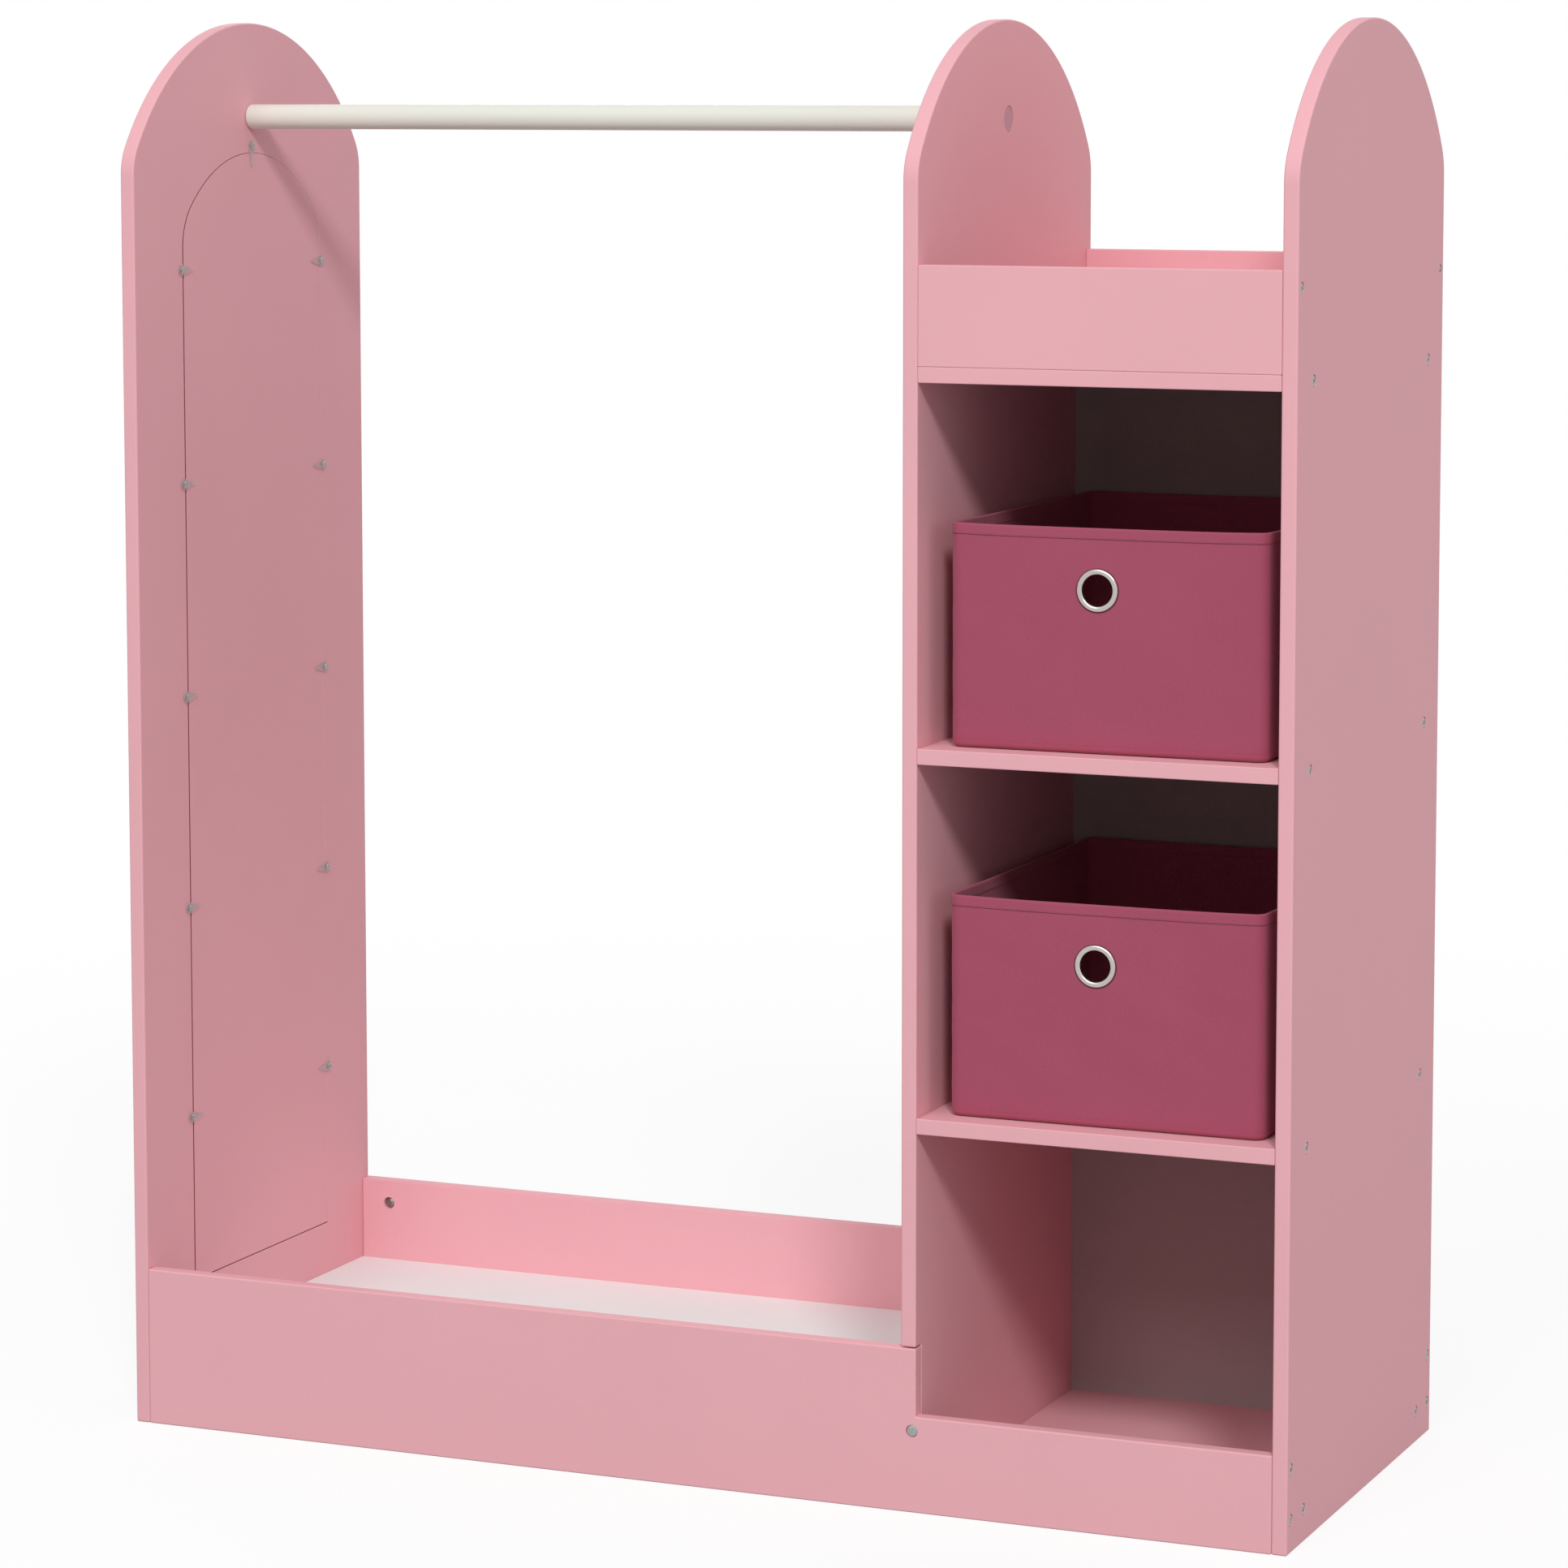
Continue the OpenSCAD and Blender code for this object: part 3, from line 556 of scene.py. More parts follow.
def makeMirrorSheet(name, x, ease, material, gaps, s, c):
    # gaps: at the front, the rear and the top of the cut-out
    half, low = c["arch"]["width"] / 2 - s["gap"], c["bottom"] + s["gap"]
    outline = [(-half, low), (half, low)] + archPoints(c["arch"], s["gap"])
    front, rear, top = gaps
    shrink, shift = (2 * half + 2 * s["gap"] - front - rear) / (2 * half), (front - rear) / 2
    grow = (c["arch"]["top"] - top - low) / (c["arch"]["top"] - s["gap"] - low)
    moved = [(y * shrink + shift, low + (z - low) * grow) for y, z in outline]
    return smoothed(eased(slab(name, moved, "x", x, x + s["thick"], material), ease, 2))


def addMirror(s, c):
    # painted shade: the backing's edges, down in the gap round it, are coloured dark
    shadeStartX = s["backingX"] + s["thick"] - s["shadeDeep"]
    shadowedBacking = paintFinish("edgedPaint", pinkTone, boardPaint, shadeBelowX=shadeStartX * mm)
    silver = mirrorFinish((s["mirrorX"] + s["thick"] - s["silverDeep"]) * mm, mirrorLook)
    around = (s["frontGap"], s["rearGap"], s["topGap"])
    onUnit(makeMirrorSheet("mirrorBacking", s["backingX"], s["backingEase"], shadowedBacking, around, s, c))
    glass = makeMirrorSheet("mirrorGlass", s["mirrorX"], s["mirrorEase"], silver, (s["gap"],) * 3, s, c)
    onUnit(glass)


addMirror(mirrorSet, cutOut)
print("mirror made")


# base boards, floors, shelves

boards = {
    "thick": 12.0, "ease": 0.8, "baseEase": 1.3, "trayEase": 0.6,
    "left": -471.0, "step": 191.0, "right": 471.0, "middle": 179.0,
    "front": -190.0, "rear": 190.0,
    "baseTall": 126.0, "baseLow": 74.0,
    "trayTop": 57.0, "floorTop": 12.0, "cleatWide": 15.0, "cleatTall": 26.0, "backY": 155.5,
    "shelves": {"lowerShelf": 290.0, "upperShelf": 569.0, "topShelf": 853.0},
    "lipTop": 940.0, "lipBottom": 865.0,
    "nutX": -445.0, "nutZs": (25.0, 106.0), "nutHoleRadius": 5.1, "nutHoleDeep": 10.4, "nutSunk": 2.2,
    "baseScrewX": 188.0, "baseScrewZ": 63.0, "baseScrewLong": 28.0,
    "screwHoleRadius": 4.75, "screwHoleDeep": 3.0, "cleatScrewY": 95.0, "cleatScrewLong": 24.0,
}


def makeBaseBoard(name, y, b, inner):
    outline = [(b["left"], 0.0), (b["right"], 0.0), (b["right"], b["baseLow"]), (b["step"], b["baseLow"]),
               (b["step"], b["baseTall"]), (b["left"], b["baseTall"])]
    board = eased(slab(name, outline, "y", y, y + b["thick"], pinkPaint), b["baseEase"])
    far, nutDeep, screwDeep = y + b["thick"], b["nutHoleDeep"], b["screwHoleDeep"]
    # blind holes for the barrel nuts from inside the tray, and for the screw from outside
    nutY = far - nutDeep if inner > 0 else y - over
    holes = [drum((b["nutX"], nutY, z), "y", b["nutHoleRadius"], nutDeep + over) for z in b["nutZs"]]
    place = (b["baseScrewX"], y - over if inner > 0 else far - screwDeep, b["baseScrewZ"])
    holes.append(drum(place, "y", b["screwHoleRadius"], screwDeep + over))
    return onUnit(smoothed(cutAway(board, holes)))


def makeFlatBoard(name, box, b, material=pinkPaint, ease=None):
    x0, x1, y0, y1, z0, z1 = box
    board = slab(name, [(x0, y0), (x1, y0), (x1, y1), (x0, y1)], "z", z0, z1, material)
    return onUnit(smoothed(eased(board, ease or b["ease"])))


def makeBoards(b):
    inside, outside = b["front"] + b["thick"], b["rear"] - b["thick"]
    makeBaseBoard("frontBaseBoard", b["front"], b, 1)
    makeBaseBoard("rearBaseBoard", outside, b, -1)
    trayZ = (b["trayTop"] - b["thick"], b["trayTop"])
    trayFloor = (b["left"], b["middle"], inside, outside, *trayZ)
    makeFlatBoard("trayFloor", trayFloor, b, whiteBoard, b["trayEase"])
    makeFlatBoard("cabinetFloor", (b["step"], b["right"], inside, outside, 0, b["floorTop"]), b)
    cleatZ = (b["floorTop"], b["floorTop"] + b["cleatTall"])
    makeFlatBoard("floorCleat", (b["right"] - b["cleatWide"], b["right"], inside, b["backY"], *cleatZ), b)
    for name, z in b["shelves"].items():
        makeFlatBoard(name, (b["step"], b["right"], b["front"], b["rear"], z, z + b["thick"]), b)
    lip = (b["step"], b["right"], b["front"], inside, b["lipBottom"], b["lipTop"])
    makeFlatBoard("topFrontLip", lip, b)
    rail = (b["step"], b["right"], outside, b["rear"], b["lipBottom"], b["lipTop"])
    makeFlatBoard("topRearRail", rail, b)


makeBoards(boards)
# source pieces kept as they are, in a finish of this script
carriedOver = {"lower_back_panel": backBoard, "middle_back_panel": backBoard, "upper_back_panel": backBoard,
               "panel_bolts": zincSteel, "top_tray_dowels": beechWood, "tray_floor_dowels": beechWood}
for nodeName, finish in carriedOver.items():
    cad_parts[nodeName].data.materials.clear()
    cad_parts[nodeName].data.materials.append(finish)
print("boards made")


# hanging rod

hangingRod = {"radius": 10.0, "left": -471.0, "right": 188.6, "round": 2.0, "chamfer": 0.5,
              "capRadius": 9.95, "capThick": 2.1, "capRim": 0.25, "capGap": 0.02}


def makeRod(s):
    r, e, left, right = s["radius"], s["round"], s["left"], s["right"]
    centre = (0, *rodSpot)
    rounded = arc(r - e, left + e, e, -math.pi / 2, 0, 6)
    body = [(r, left + (right - left) * i / 12) for i in range(1, 12)]
    end = [(r, right - s["chamfer"]), (r - s["chamfer"], right), (0, right)]
    onUnit(lathe("hangingRod", [(0, left)] + rounded + body + end, "x", centre, creamPaint))
    low, top, rim, c = right + s["capGap"], right + s["capThick"], s["capRim"], s["capRadius"]
    profile = [(0, low), (c, low), (c, top - rim), (c - rim, top), (0, top)]
    onUnit(lathe("rodEndCap", profile, "x", centre, mauvePlastic))


makeRod(hangingRod)
print("rod made")


# geometry node trees

def newTree(name, lengthSockets, otherSockets):
    tree = bpy.data.node_groups.new(name, "GeometryNodeTree")
    kinds = {"Geometry": "Geometry", **dict.fromkeys(lengthSockets, "Float"), **otherSockets}
    for label, kind in {**kinds, "Finish": "Material"}.items():
        tree.interface.new_socket(label, in_out="INPUT", socket_type="NodeSocket" + kind)
    tree.interface.new_socket("Geometry", in_out="OUTPUT", socket_type="NodeSocketGeometry")
    entry = tree.nodes.new("NodeGroupInput")
    return tree, {s.name: Wire(tree, s) for s in entry.outputs if s.name}, Wire(tree)


def endTree(tree, start, shape, finish):
    real = start.node("GeometryNodeRealizeInstances", {}, {0: shape})
    painted = start.node("GeometryNodeSetMaterial", {}, {"Geometry": real, "Material": finish})
    out = tree.nodes.new("NodeGroupOutput")
    tree.links.new(painted.socket, out.inputs[0])


def grown(piece, tree, sizes, others):
    # runs a tree on a piece with its named inputs, sizes in mm, and keeps the result as a plain mesh
    values = {**{label: size * mm for label, size in sizes.items()}, **others}
    modifier = piece.modifiers.new("grow", "NODES")
    modifier.node_group = tree
    for item in tree.interface.items_tree:
        if item.item_type == "SOCKET" and item.in_out == "INPUT" and item.name in values:
            modifier[item.identifier] = values[item.name]
    return settled(piece)


def screwTree():
    lengthSockets = ("Head Radius", "Head Depth", "Dome", "Shank Radius", "Length",
                     "Slot Width", "Slot Reach", "Slot Depth")
    tree, given, start = newTree("screwTree", lengthSockets, {"Seed": "Int"})
    radius, depth, dome = given["Head Radius"], given["Head Depth"], given["Dome"]
    shoulder, crownTop, point = 0.72, 0.3, 0.3    # shares of the head's and the shank's radius
    rimDeep, crownHigh = 0.2, 0.35                # shares of the head's depth and its dome

    def cone(top, bottom, length, z):
        made = start.node("GeometryNodeMeshCone", {"fill_type": "NGON"},
                          {"Vertices": 28, "Radius Top": top, "Radius Bottom": bottom, "Depth": length})
        return start.moved(made, z=z)

    rim = cone(radius, radius, depth * rimDeep, depth * -rimDeep)
    domed = cone(radius * shoulder, radius, dome, 0.0)
    crown = cone(radius * crownTop, radius * shoulder, dome * crownHigh, dome)
    sunk = cone(radius, given["Shank Radius"], depth * (1 - rimDeep), depth * -1.0)
    length, thin = given["Length"], given["Shank Radius"]
    shank = cone(thin, thin * point, length - depth, length * -1.0)
    body = start.node("GeometryNodeMeshBoolean", {"operation": "UNION", "solver": "EXACT"},
                      {"Mesh 2": [rim, domed, crown, sunk, shank]})
    cross = []
    for along, across in (("Slot Reach", "Slot Width"), ("Slot Width", "Slot Reach")):
        size = start.vector(given[along], given[across], given["Slot Depth"] * 2.0)
        slot = start.node("GeometryNodeMeshCube", {}, {"Size": size})
        cross.append(start.moved(slot, z=dome * (1 + crownHigh)))
    head = start.node("GeometryNodeMeshBoolean", {"operation": "DIFFERENCE", "solver": "EXACT"},
                      {"Mesh 1": body, "Mesh 2": cross})
    facing = start.node("GeometryNodeInputNamedAttribute", {"data_type": "FLOAT_VECTOR"}, {"Name": "facing"})
    aligned = start.node("FunctionNodeAlignRotationToVector", {"axis": "Z"}, {"Vector": facing})
    turn = start.node("FunctionNodeRandomValue", {"data_type": "FLOAT"},
                      {2: 0.0, 3: math.pi / 2, "Seed": given["Seed"]}, 1)
    spin = start.node("FunctionNodeAxisAngleToRotation", {}, {"Axis": (0, 0, 1), "Angle": turn})
    rotation = start.node("FunctionNodeRotateRotation", {"rotation_space": "LOCAL"}, {0: aligned, 1: spin})
    placed = start.node("GeometryNodeInstanceOnPoints", {},
                        {"Points": given["Geometry"], "Instance": head, "Rotation": rotation})
    flat = start.node("GeometryNodeSetShadeSmooth", {}, {"Geometry": placed, "Shade Smooth": False})
    endTree(tree, start, flat, given["Finish"])
    return tree


def pointCloud(name, spots, facings):
    mesh = bpy.data.meshes.new(name)
    mesh.from_pydata([[v * mm for v in spot] for spot in spots], [], [])
    way = mesh.attributes.new("facing", "FLOAT_VECTOR", "POINT")
    for i, facing in enumerate(facings):
        way.data[i].vector = facing
    return addObject(name, mesh)


cabinetScrews = {"Head Radius": 4.35, "Head Depth": 2.6, "Dome": 0.45, "Shank Radius": 2.0, "Length": 48.0,
                 "Slot Width": 0.95, "Slot Reach": 4.8, "Slot Depth": 0.55}
barrelNuts = {"Head Radius": 3.2, "Head Depth": 1.0, "Dome": 0.5, "Shank Radius": 4.9, "Length": 8.6,
              "Slot Width": 1.2, "Slot Reach": 4.4, "Slot Depth": 1.0}
headSunk = 0.65    # how far a head lies under the board's face, so that its dome ends flush
screwNodes = screwTree()


def addScrews(name, spots, facings, sizes, sunk=headSunk, seed=4):
    moved = [[p[i] - way[i] * sunk for i in range(3)] for p, way in zip(spots, facings)]
    piece = pointCloud(name, moved, facings)
    grown(piece, screwNodes, sizes, {"Seed": seed, "Finish": zincSteel})
    return onUnit(smoothed(piece, 30, False))


def addUnitScrews(p, b):
    left, right, down = (-1, 0, 0), (1, 0, 0), (0, 0, -1)
    addScrews("rightPanelScrews", rightScrews, [right] * len(rightScrews), cabinetScrews)
    addScrews("middlePanelScrews", middleScrews, [left] * len(middleScrews), cabinetScrews)
    addScrews("rodScrew", [(p["leftX"], *rodSpot)], [left], cabinetScrews)
    cleatX = b["right"] - b["cleatWide"] / 2
    spots = [(cleatX, y, 0.0) for y in (-b["cleatScrewY"], b["cleatScrewY"])]
    addScrews("cleatScrews", spots, [down] * 2, {**cabinetScrews, "Length": b["cleatScrewLong"]})
    spots = [(b["baseScrewX"], y, b["baseScrewZ"]) for y in (b["front"], b["rear"])]
    facings = [(0, -1, 0), (0, 1, 0)]
    addScrews("baseBoardScrews", spots, facings, {**cabinetScrews, "Length": b["baseScrewLong"]})
    inner = b["rear"] - b["thick"]    # the nuts lie in blind holes, seen from inside the tray
    spots = [(b["nutX"], side * inner, z) for side in (-1, 1) for z in b["nutZs"]]
    facings = [(0, -side, 0) for side in (-1, 1) for z in b["nutZs"]]
    addScrews("barrelNuts", spots, facings, barrelNuts, b["nutSunk"], 7)


addUnitScrews(sidePanels, boards)
print("screws made")


# turn clips

turnClips = {
    "x": -470.7, "sideY": 117.5, "firstZ": 236.0, "pitch": 172.009, "count": 5, "topZ": 1022.0,
    "sizes": {"End Radius": 4.7, "Tip Radius": 1.1, "Reach": 16.2, "Thickness": 1.2, "Hole": 1.6},
    "ease": 0.3, "screwProud": 0.1,
}
clipScrews = {"Head Radius": 2.7, "Head Depth": 1.2, "Dome": 0.5, "Shank Radius": 1.45, "Length": 10.5,
              "Slot Width": 0.65, "Slot Reach": 3.2, "Slot Depth": 0.35}


def clipTree():
    lengthSockets = ("End Radius", "Tip Radius", "Reach", "Thickness", "Hole")
    tree, given, start = newTree("clipTree", lengthSockets, {"Turn": "Float", "Place": "Vector"})

    def peg(radius, x, length, z):
        made = start.node("GeometryNodeMeshCylinder", {"fill_type": "NGON"},
                          {"Vertices": 48, "Radius": radius, "Depth": length})
        return start.moved(made, x, z)

    middle = given["Thickness"] * 0.5
    ends = start.node("GeometryNodeJoinGeometry", {}, {0: [
        peg(given["End Radius"], 0.0, given["Thickness"], middle),
        peg(given["Tip Radius"], given["Reach"], given["Thickness"], middle)]})
    drop = start.node("GeometryNodeConvexHull", {}, {0: ends})
    hole = peg(given["Hole"], 0.0, given["Thickness"] * 4.0, middle)
    plate = start.node("GeometryNodeMeshBoolean", {"operation": "DIFFERENCE", "solver": "EXACT"},
                       {"Mesh 1": drop, "Mesh 2": [hole]})
    spin = start.node("FunctionNodeAxisAngleToRotation", {}, {"Axis": (0, 0, 1), "Angle": given["Turn"]})
    stand = start.node("FunctionNodeAxisAngleToRotation", {}, {"Axis": (0, 1, 0), "Angle": math.pi / 2})
    both = start.node("FunctionNodeRotateRotation", {"rotation_space": "GLOBAL"}, {0: spin, 1: stand})
    placed = start.node("GeometryNodeTransform", {},
                        {"Geometry": plate, "Translation": given["Place"], "Rotation": both})
    endTree(tree, start, placed, given["Finish"])
    return tree


clipNodes = clipTree()


def addClip(name, y, z, turn, s):
    # turn is about X: 0 points down, a quarter turn points to the rear
    piece = pointCloud(name, [], [])
    place = (s["x"] * mm, y * mm, z * mm)
    grown(piece, clipNodes, s["sizes"], {"Turn": turn, "Place": place, "Finish": clipPlastic})
    return onUnit(smoothed(eased(piece, s["ease"], 2)), nodeOf(name) + "_body")


def addClips(s):
    spots, top = [], s["x"] + s["sizes"]["Thickness"]
    for i in range(s["count"]):
        z = s["firstZ"] + s["pitch"] * i
        addClip(f"mirrorClipFront{i + 1}", -s["sideY"], z, math.pi / 2, s)
        addClip(f"mirrorClipRear{i + 1}", s["sideY"], z, -math.pi / 2, s)
        spots += [(top, y, z) for y in (-s["sideY"], s["sideY"])]
    addClip("mirrorClipTop", 0.0, s["topZ"], 0.0, s)
    spots.append((top, 0.0, s["topZ"]))
    facings = [(1, 0, 0)] * len(spots)
    addScrews("mirrorClipScrews", spots, facings, clipScrews, -s["screwProud"], 11)


addClips(turnClips)
print("clips made")


# fabric boxes

fabricBoxes = {
    "x": 332.5, "y": -14.0, "width": 247.0, "deep": 312.0, "tall": 168.0,
    "corner": 9.5, "wall": 1.9, "bottomRound": 4.0, "floorThick": 1.2,
    "hem": 8.3, "hemProud": 0.45, "hemBelow": 0.05, "hemAbove": 0.35, "rimRound": 0.9, "rimBend": 0.3,
    "frontLean": 2.6, "rearSet": 1.3, "frontBulge": 1.1, "sideBulge": 0.9, "rimSag": 0.7, "crumple": 0.22,
    "ringX": -6.5, "ringZ": 121.5, "ringHole": 12.3,
    "bases": {"upper": 581.3, "lower": 302.3},
}


def boxPerimeter(s):
    # points a corner's radius inside the walls: (x, y, outward x, outward y, side, place on it from -1 to 1)
    half, depth = s["width"] / 2 - s["corner"], s["deep"] / 2 - s["corner"]
    walls = [("front", (-half, -depth), (half, -depth), (0, -1), 36),
             ("right", (half, -depth), (half, depth), (1, 0), 40),
             ("rear", (half, depth), (-half, depth), (0, 1), 36),
             ("left", (-half, depth), (-half, -depth), (-1, 0), 40)]
    points = []
    for side, a, b, out, count in walls:
        start = math.atan2(out[1], out[0])
        for i in range(count + 1):
            t = i / count
            x, y = a[0] + (b[0] - a[0]) * t, a[1] + (b[1] - a[1]) * t
            points.append((x, y, *out, side, 2 * t - 1))
        for i in range(1, 9):
            turn = start + math.pi / 2 * i / 9
            points.append((*b, math.cos(turn), math.sin(turn), side + "Corner", 1.0))
    return points


def lengths(points):
    # how far along a line each of its points lies
    far = [0.0]
    for one, two in zip(points, points[1:]):
        far.append(far[-1] + math.dist(one, two))
    return far


crumpleWaves = [    # size; then for X and for Y: radians per mm along and up, and how the seed shifts them
    (1.0, (0.061, 0.083, 1), (0.047, -0.069, 2)),
    (0.5, (0.137, -0.151, 3), (0.119, 0.173, 0)),
]


def boxPoint(s, point, inset, z, seed):
    # a point of the cloth: the plain wall, leaned, bulged and slightly crumpled
    x, y, outX, outY, side, along = point
    h = z / s["tall"]
    push = 0.0
    middle = 1 - along ** 4
    if side in ("left", "right"):
        push = s["sideBulge"] * math.sin(math.pi * min(1, h)) * middle
    elif side == "front":
        push = s["frontBulge"] * math.sin(math.pi * min(1, h * 0.9)) * middle
    wave = sum(size * math.sin(x * a + z * b + seed * m) * math.sin(y * c + z * d + seed * n)
               for size, (a, b, m), (c, d, n) in crumpleWaves)
    push += s["crumple"] * wave * min(1, h * 6)
    reach = s["corner"] - inset + push
    px, py = x + outX * reach, y + outY * reach
    if y < 0:
        py -= s["frontLean"] * h * min(1, -2 * y / s["deep"]) ** 6
    else:
        # room for the hem and the stitches when the box is pushed home
        py -= s["rearSet"] * min(1, 2 * y / s["deep"]) ** 6
    pz = z - (s["rimSag"] * middle * max(0, h - 0.5) * 2 if "Corner" not in side else 0)
    return s["x"] + px, s["y"] + py, pz


def clothPoint(s, point, inset, z, seed, base):
    x, y, up = boxPoint(s, point, inset, z, seed)
    return x * mm, y * mm, (up + base) * mm


def boxProfile(s):
    # (inset, height) from the bottom's edge up the outside, over the rim and down the inside
    tall, wall, hem, proud, b = s["tall"], s["wall"], s["hem"], s["hemProud"], s["bottomRound"]
    high = tall - hem
    profile = arc(b, b, b, -math.pi / 2, -math.pi, 5)
    profile += [(0, b + (high - 0.5 - b) * i / 16) for i in range(1, 17)]
    below, above, rim, bend = s["hemBelow"], s["hemAbove"], s["rimRound"], s["rimBend"]
    outside = [(0, high - below), (-proud * 0.9, high), (-proud, high + above)]
    outside += [(-proud, high + hem * i / 4) for i in (1, 2, 3)]
    outside += [(-proud, tall - rim), (-proud + bend, tall - bend), (-proud + rim, tall)]
    profile += outside + [(wall - inset, z) for inset, z in reversed(outside)]
    floor = wall + s["floorThick"]
    profile += [(wall, floor + (high - 0.5 - floor) * (1 - i / 12)) for i in range(13)]
    return profile


def clothShadeLines(s, e):
    # where the painted shade along the hem's seam and round the ring falls on the cloth map
    profile = boxProfile(s)
    up = lengths(profile)
    seam = next(i for i, p in enumerate(profile) if p[1] == s["tall"] - s["hem"])
    wallStart = next(i for i, p in enumerate(profile) if p[0] == 0)
    ringV = up[wallStart] + s["ringZ"] - profile[wallStart][1]
    ringU = s["ringX"] + s["width"] / 2 - s["corner"]
    hemSeamShade = {"v": up[seam] * mm, "wide": 0.6 * mm, "depth": 0.62}
    ringPressShade = {"ringU": ringU * mm, "ringV": ringV * mm, "radius": (e["outer"] + 0.2) * mm,
                "wide": 1.0 * mm, "depth": 0.85}
    return [hemSeamShade, ringPressShade]


def makeBoxShell(name, body, base, s, seed, finish):
    points, profile, r = boxPerimeter(s), boxProfile(s), s["corner"]
    around = lengths([(p[0] + r * p[2], p[1] + r * p[3]) for p in points + points[:1]])
    up = lengths(profile)
    work = bmesh.new()
    cloth = work.loops.layers.uv.new("cloth")
    rings = [[work.verts.new(clothPoint(s, p, *level, seed, base)) for p in points] for level in profile]
    count = len(points)
    for j in range(len(rings) - 1):
        for i in range(count):
            k = (i + 1) % count
            face = work.faces.new((rings[j][i], rings[j][k], rings[j + 1][k], rings[j + 1][i]))
            low, high, one, two = up[j], up[j + 1], around[i], around[i + 1]
            for loop, (u, v) in zip(face.loops, ((one, low), (two, low), (two, high), (one, high))):
                loop[cloth].uv = (u * mm, v * mm)
    for ring in (list(reversed(rings[0])), rings[-1]):
        face = work.faces.new(ring)
        for loop in face.loops:
            loop[cloth].uv = (loop.vert.co.x, loop.vert.co.y - 1)
    shell = fromWork(work, name, finish)
    front, through = s["y"] - s["deep"] / 2, 12.0    # the hole goes through the front wall alone
    place = (s["x"] + s["ringX"], front - through, base + s["ringZ"])
    cutAway(shell, [drum(place, "y", s["ringHole"], 2 * through, 48)])
    return onUnit(smoothed(shell, 50, False), body)


eyelet = {"outer": 16.0, "inner": 11.75, "proud": 1.55, "sleeve": 12.2, "washer": 14.8, "washerThick": 0.7,
          "turnIn": 0.4, "flangeOff": 0.12}


def makeEyelet(name, body, base, s, e, seed):
    # a pressed ring: domed flange in front, sleeve through the cloth, flat washer behind
    x, z = s["x"] + s["ringX"], base + s["ringZ"]
    wallPoint = min((p for p in boxPerimeter(s) if p[4] == "front"), key=lambda p: abs(p[0] - s["ringX"]))
    front = boxPoint(s, wallPoint, 0, s["ringZ"], seed)[1]
    o, i, sleeve, w = e["outer"], e["inner"], e["sleeve"], e["washer"]
    edge, off = e["turnIn"], e["flangeOff"]
    back, end = s["wall"], s["wall"] + e["washerThick"]
    middle, half = (o + i) / 2, (o - i) / 2
    turns = [math.pi * k / 14 for k in range(1, 14)]
    dome = [(middle - half * math.cos(t), -e["proud"] * math.sin(t) ** 0.8) for t in turns]
    profile = [(i, 0.0)] + dome + [(o, 0.0), (o - edge, off), (sleeve, off), (sleeve, back)]
    profile += [(w, back), (w, end - edge / 2), (w - edge, end), (i + edge, end), (i, back + edge), (i, 0.0)]
    return onUnit(lathe(name, profile, "y", (x, front, z), ringMetal, 72), body)


def stitchTree():
    lengthSockets = ("Spacing", "Stitch Length", "Thread Radius")
    tree, given, start = newTree("stitchTree", lengthSockets, {})
    line = start.node("GeometryNodeMeshToCurve", {}, {0: given["Geometry"]})
    points = start.node("GeometryNodeCurveToPoints", {"mode": "LENGTH"},
                        {"Curve": line, "Length": given["Spacing"]})
    along = points.other("Tangent")
    aligned = start.node("FunctionNodeAlignRotationToVector", {"axis": "X"}, {"Vector": along})
    ball = start.node("GeometryNodeMeshUVSphere", {}, {"Segments": 6, "Rings": 4, "Radius": 1.0})
    thread = given["Thread Radius"]
    size = start.vector(given["Stitch Length"] * 0.5, thread, thread)
    stitch = start.node("GeometryNodeTransform", {}, {"Geometry": ball, "Scale": size})
    placed = start.node("GeometryNodeInstanceOnPoints", {},
                        {"Points": points, "Instance": stitch, "Rotation": aligned})
    endTree(tree, start, placed, given["Finish"])
    return tree


stitchNodes = stitchTree()
stitches = {
    "rows": {"low": {"z": 6.6, "inset": -0.1}, "hem": {"z": 161.2, "inset": -0.52}},
    "sizes": {"Spacing": 3.8, "Stitch Length": 2.9, "Thread Radius": 0.22},
}


def addStitches(name, body, base, s, t, seed):
    verts, edges = [], []
    points = boxPerimeter(s)
    count = len(points)
    for row in t["rows"].values():
        first = len(verts)
        verts += [clothPoint(s, p, row["inset"], row["z"], seed, base) for p in points]
        edges += [(first + i, first + (i + 1) % count) for i in range(count)]
    mesh = bpy.data.meshes.new(name)
    mesh.from_pydata(verts, edges, [])
    piece = addObject(name, mesh)
    grown(piece, stitchNodes, t["sizes"], {"Finish": threadFinish})
    return onUnit(smoothed(piece, 60, False), body, hasNode=False)


boxCard = {"inset": 3.6, "corner": 4.0, "low": 3.15, "thick": 2.4, "ease": 0.7}


def makeBoxBase(name, body, base, s, c):
    # the stiff covered board that lies in the box
    w, d = [side / 2 - c["inset"] - c["corner"] for side in (s["width"], s["deep"])]
    outline = []
    for sx, sy, turn in ((1, -1, -90), (1, 1, 0), (-1, 1, 90), (-1, -1, 180)):
        start = math.radians(turn)
        outline += arc(s["x"] + sx * w, s["y"] + sy * d, c["corner"], start, start + math.pi / 2, 6)
    piece = slab(name, outline, "z", base + c["low"], base + c["low"] + c["thick"], cardFelt)
    eased(piece, c["ease"], 2)
    mesh = piece.data
    layer = mesh.uv_layers.new(name="cloth")
    for loop in mesh.loops:
        co = mesh.vertices[loop.vertex_index].co
        layer.data[loop.index].uv = (co.x, co.y)
    return onUnit(smoothed(piece), body)
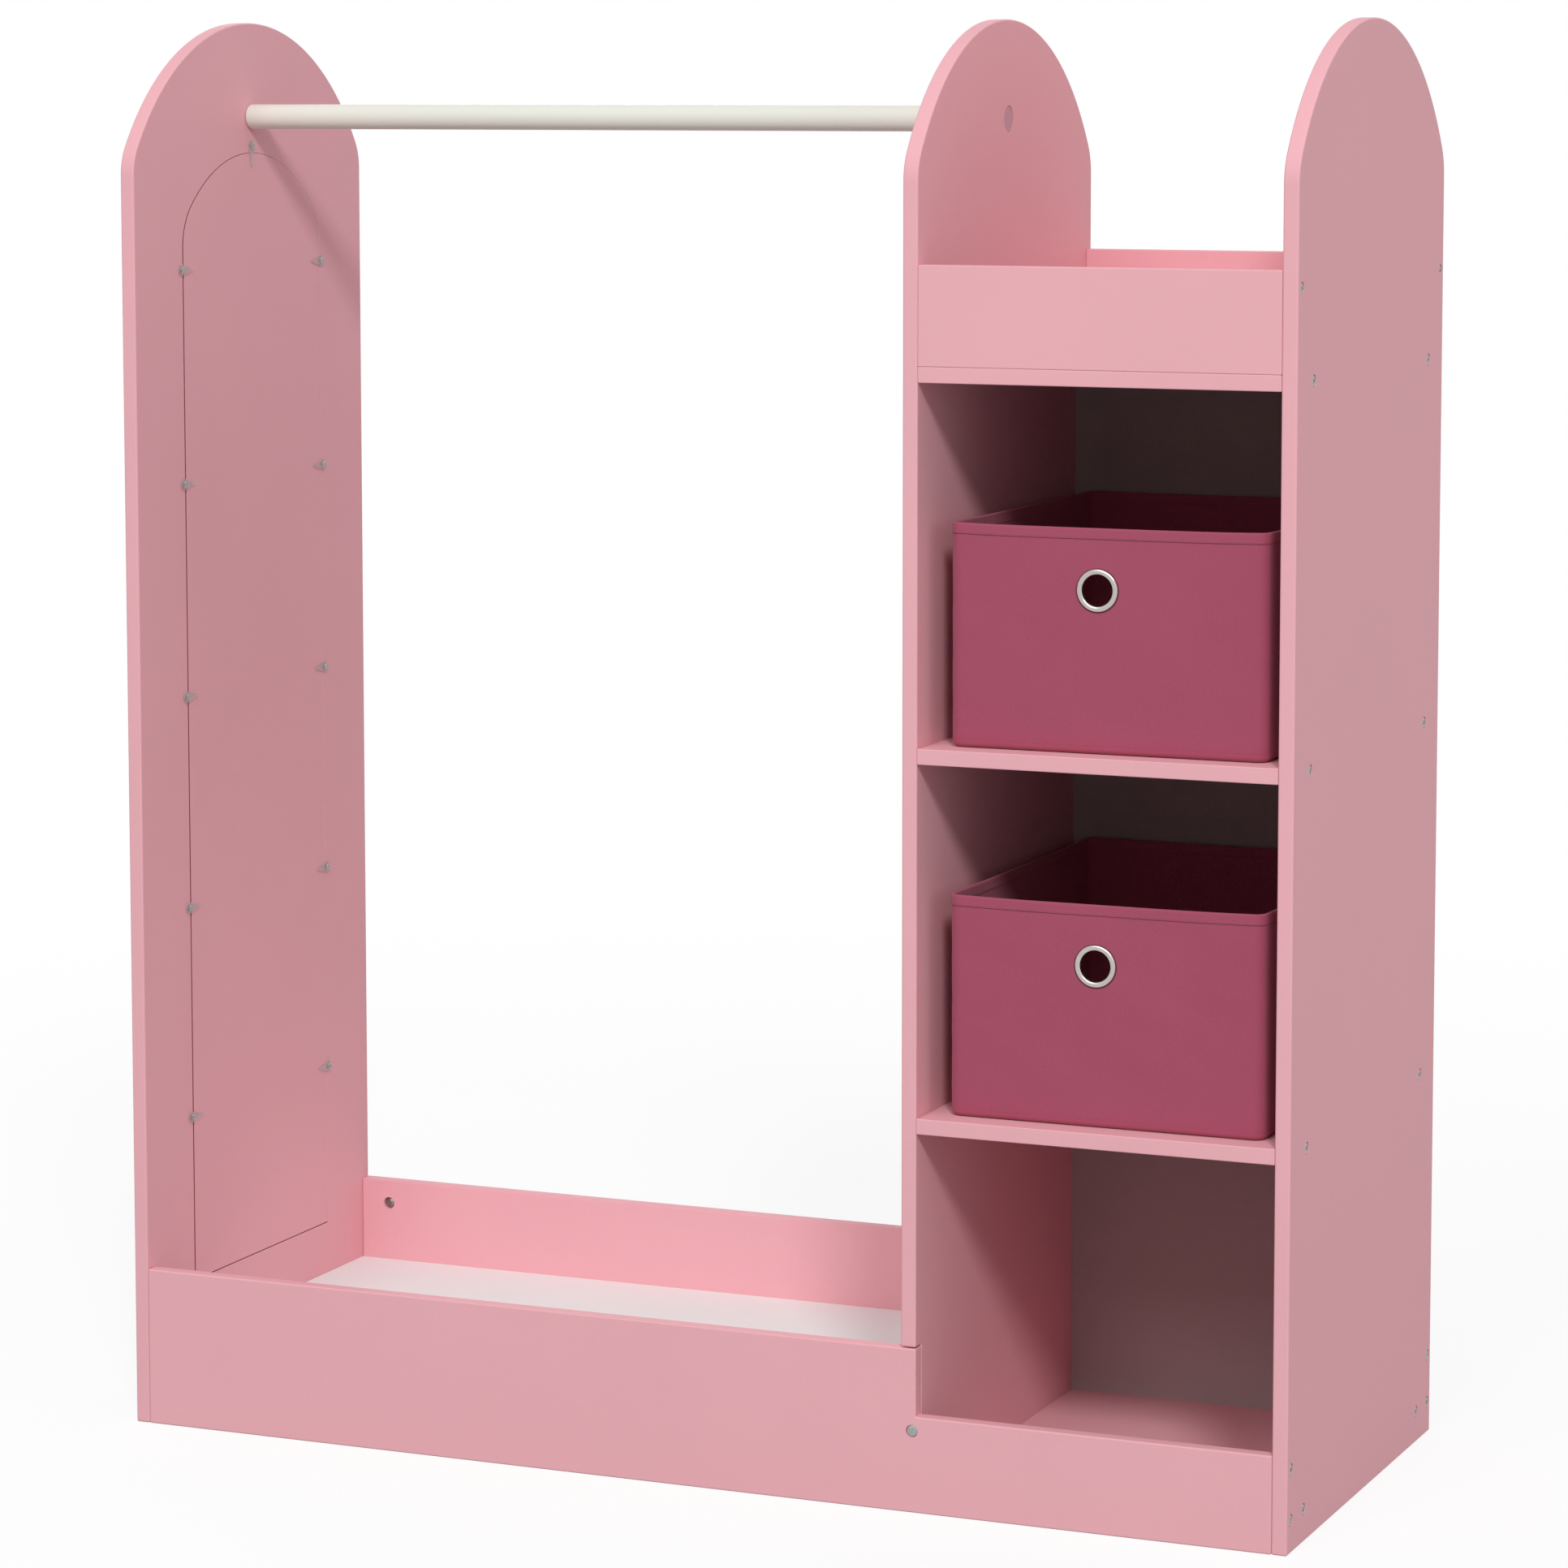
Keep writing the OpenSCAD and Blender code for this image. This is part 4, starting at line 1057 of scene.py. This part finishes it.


# the box cloth carries painted shade lines along the hem's seam and round the ring
raspberryFelt = feltFinish("raspberryFelt", (166, 80, 104), raspberryCloth, clothShadeLines(fabricBoxes, eyelet))
for boxName, seed in (("upper", 1.7), ("lower", 4.1)):
    boxBody, boxBase = boxName + "_box", fabricBoxes["bases"][boxName]
    makeBoxShell(boxName + "BoxFabric", boxBody, boxBase, fabricBoxes, seed, raspberryFelt)
    makeBoxBase(boxName + "BoxBase", boxBody, boxBase, fabricBoxes, boxCard)
    makeEyelet(boxName + "BoxRing", boxBody, boxBase, fabricBoxes, eyelet, seed)
    addStitches(boxName + "BoxStitches", boxBody, boxBase, fabricBoxes, stitches, seed)
print("fabric boxes made")


# floor, world and lamps

studio = {
    "floorSize": 60.0,
    "floorLift": 0.82,       # share of plain white in what the camera sees of the floor
    "fadeNear": 0.9, "fadeFar": 2.6,
    "floorShade": 0.40,      # what the floor throws back on the object
    "ambient": 0.46,
    # azimuth from the front towards the boxes' side, elevation above the floor, in degrees
    "lamps": {
        "keyLamp": {"azimuth": 30.0, "elevation": 36.5, "far": 13.0, "wide": 2.1, "power": 680.0},
        "frontLamp": {"azimuth": -5.0, "elevation": 38.0, "far": 13.0, "wide": 5.7, "power": 430.0},
        "sideLamp": {"azimuth": 90.0, "elevation": 8.0, "far": 10.0, "wide": 10.0, "power": 160.0},
        "rearLamp": {"azimuth": 222.0, "elevation": 8.0, "far": 10.0, "wide": 8.0, "power": 240.0},
    },
    "aim": (0.0, 0.0, 0.6),
}
white = (1, 1, 1, 1)


def plainRays(start):
    # 1 for what the camera, mirrors and clear plastic see, 0 for the light on the object
    camera = start.node("ShaderNodeLightPath", output="Is Camera Ray")
    glossy = start.sum("MAXIMUM", camera, camera.other("Is Glossy Ray"))
    return start.sum("MAXIMUM", glossy, camera.other("Is Transmission Ray"))


def makeFloor(s):
    half = s["floorSize"] / 2
    mesh = bpy.data.meshes.new("paleFloor")
    corners = [(-half, -half, 0), (half, -half, 0), (half, half, 0), (-half, half, 0)]
    mesh.from_pydata(corners, [], [(0, 1, 2, 3)])
    material = bpy.data.materials.new("paleFloor")
    start = bareTree(material)
    plain = plainRays(start)
    away = start.node("ShaderNodeVectorMath", {"operation": "LENGTH"}, {0: objectPlace(start)}, 1)
    ends = {"From Min": s["fadeNear"], "From Max": s["fadeFar"], "To Min": s["floorLift"], "To Max": 1.0}
    fade = start.node("ShaderNodeMapRange", {}, {"Value": away, **ends})
    dark = (*[s["floorShade"]] * 3, 1)
    pale = start.node("ShaderNodeBsdfDiffuse", {}, {"Color": plain.mixed(dark, white)})
    glow = start.node("ShaderNodeEmission", {}, {"Color": white, "Strength": 1.0})
    mixed = start.node("ShaderNodeMixShader", {}, {0: plain * fade, 1: pale, 2: glow})
    start.node("ShaderNodeOutputMaterial", {}, {"Surface": mixed})
    addObject("paleFloor", mesh, material)


def makeWorld(s):
    world = bpy.data.worlds.new("studioWorld")
    bpy.context.scene.world = world
    start = bareTree(world)
    colour = plainRays(start).mixed((*[s["ambient"]] * 3, 1), white)
    sky = start.node("ShaderNodeBackground", {}, {"Color": colour, "Strength": 1.0})
    start.node("ShaderNodeOutputWorld", {}, {"Surface": sky})


def addLamps(s):
    for name, one in s["lamps"].items():
        data = bpy.data.lights.new(name, "AREA")
        data.shape, data.size, data.energy = "DISK", one["wide"], one["power"]
        lamp = addObject(name, data)
        side, rise = math.radians(one["azimuth"]), math.radians(one["elevation"])
        way = Vector((math.sin(side) * math.cos(rise), -math.cos(side) * math.cos(rise), math.sin(rise)))
        lamp.location = Vector(s["aim"]) + way * one["far"]
        lamp.rotation_euler = way.to_track_quat("Z", "Y").to_euler()


makeFloor(studio)
makeWorld(studio)
addLamps(studio)
bpy.context.scene.view_settings.view_transform = "Standard"
print("studio made")
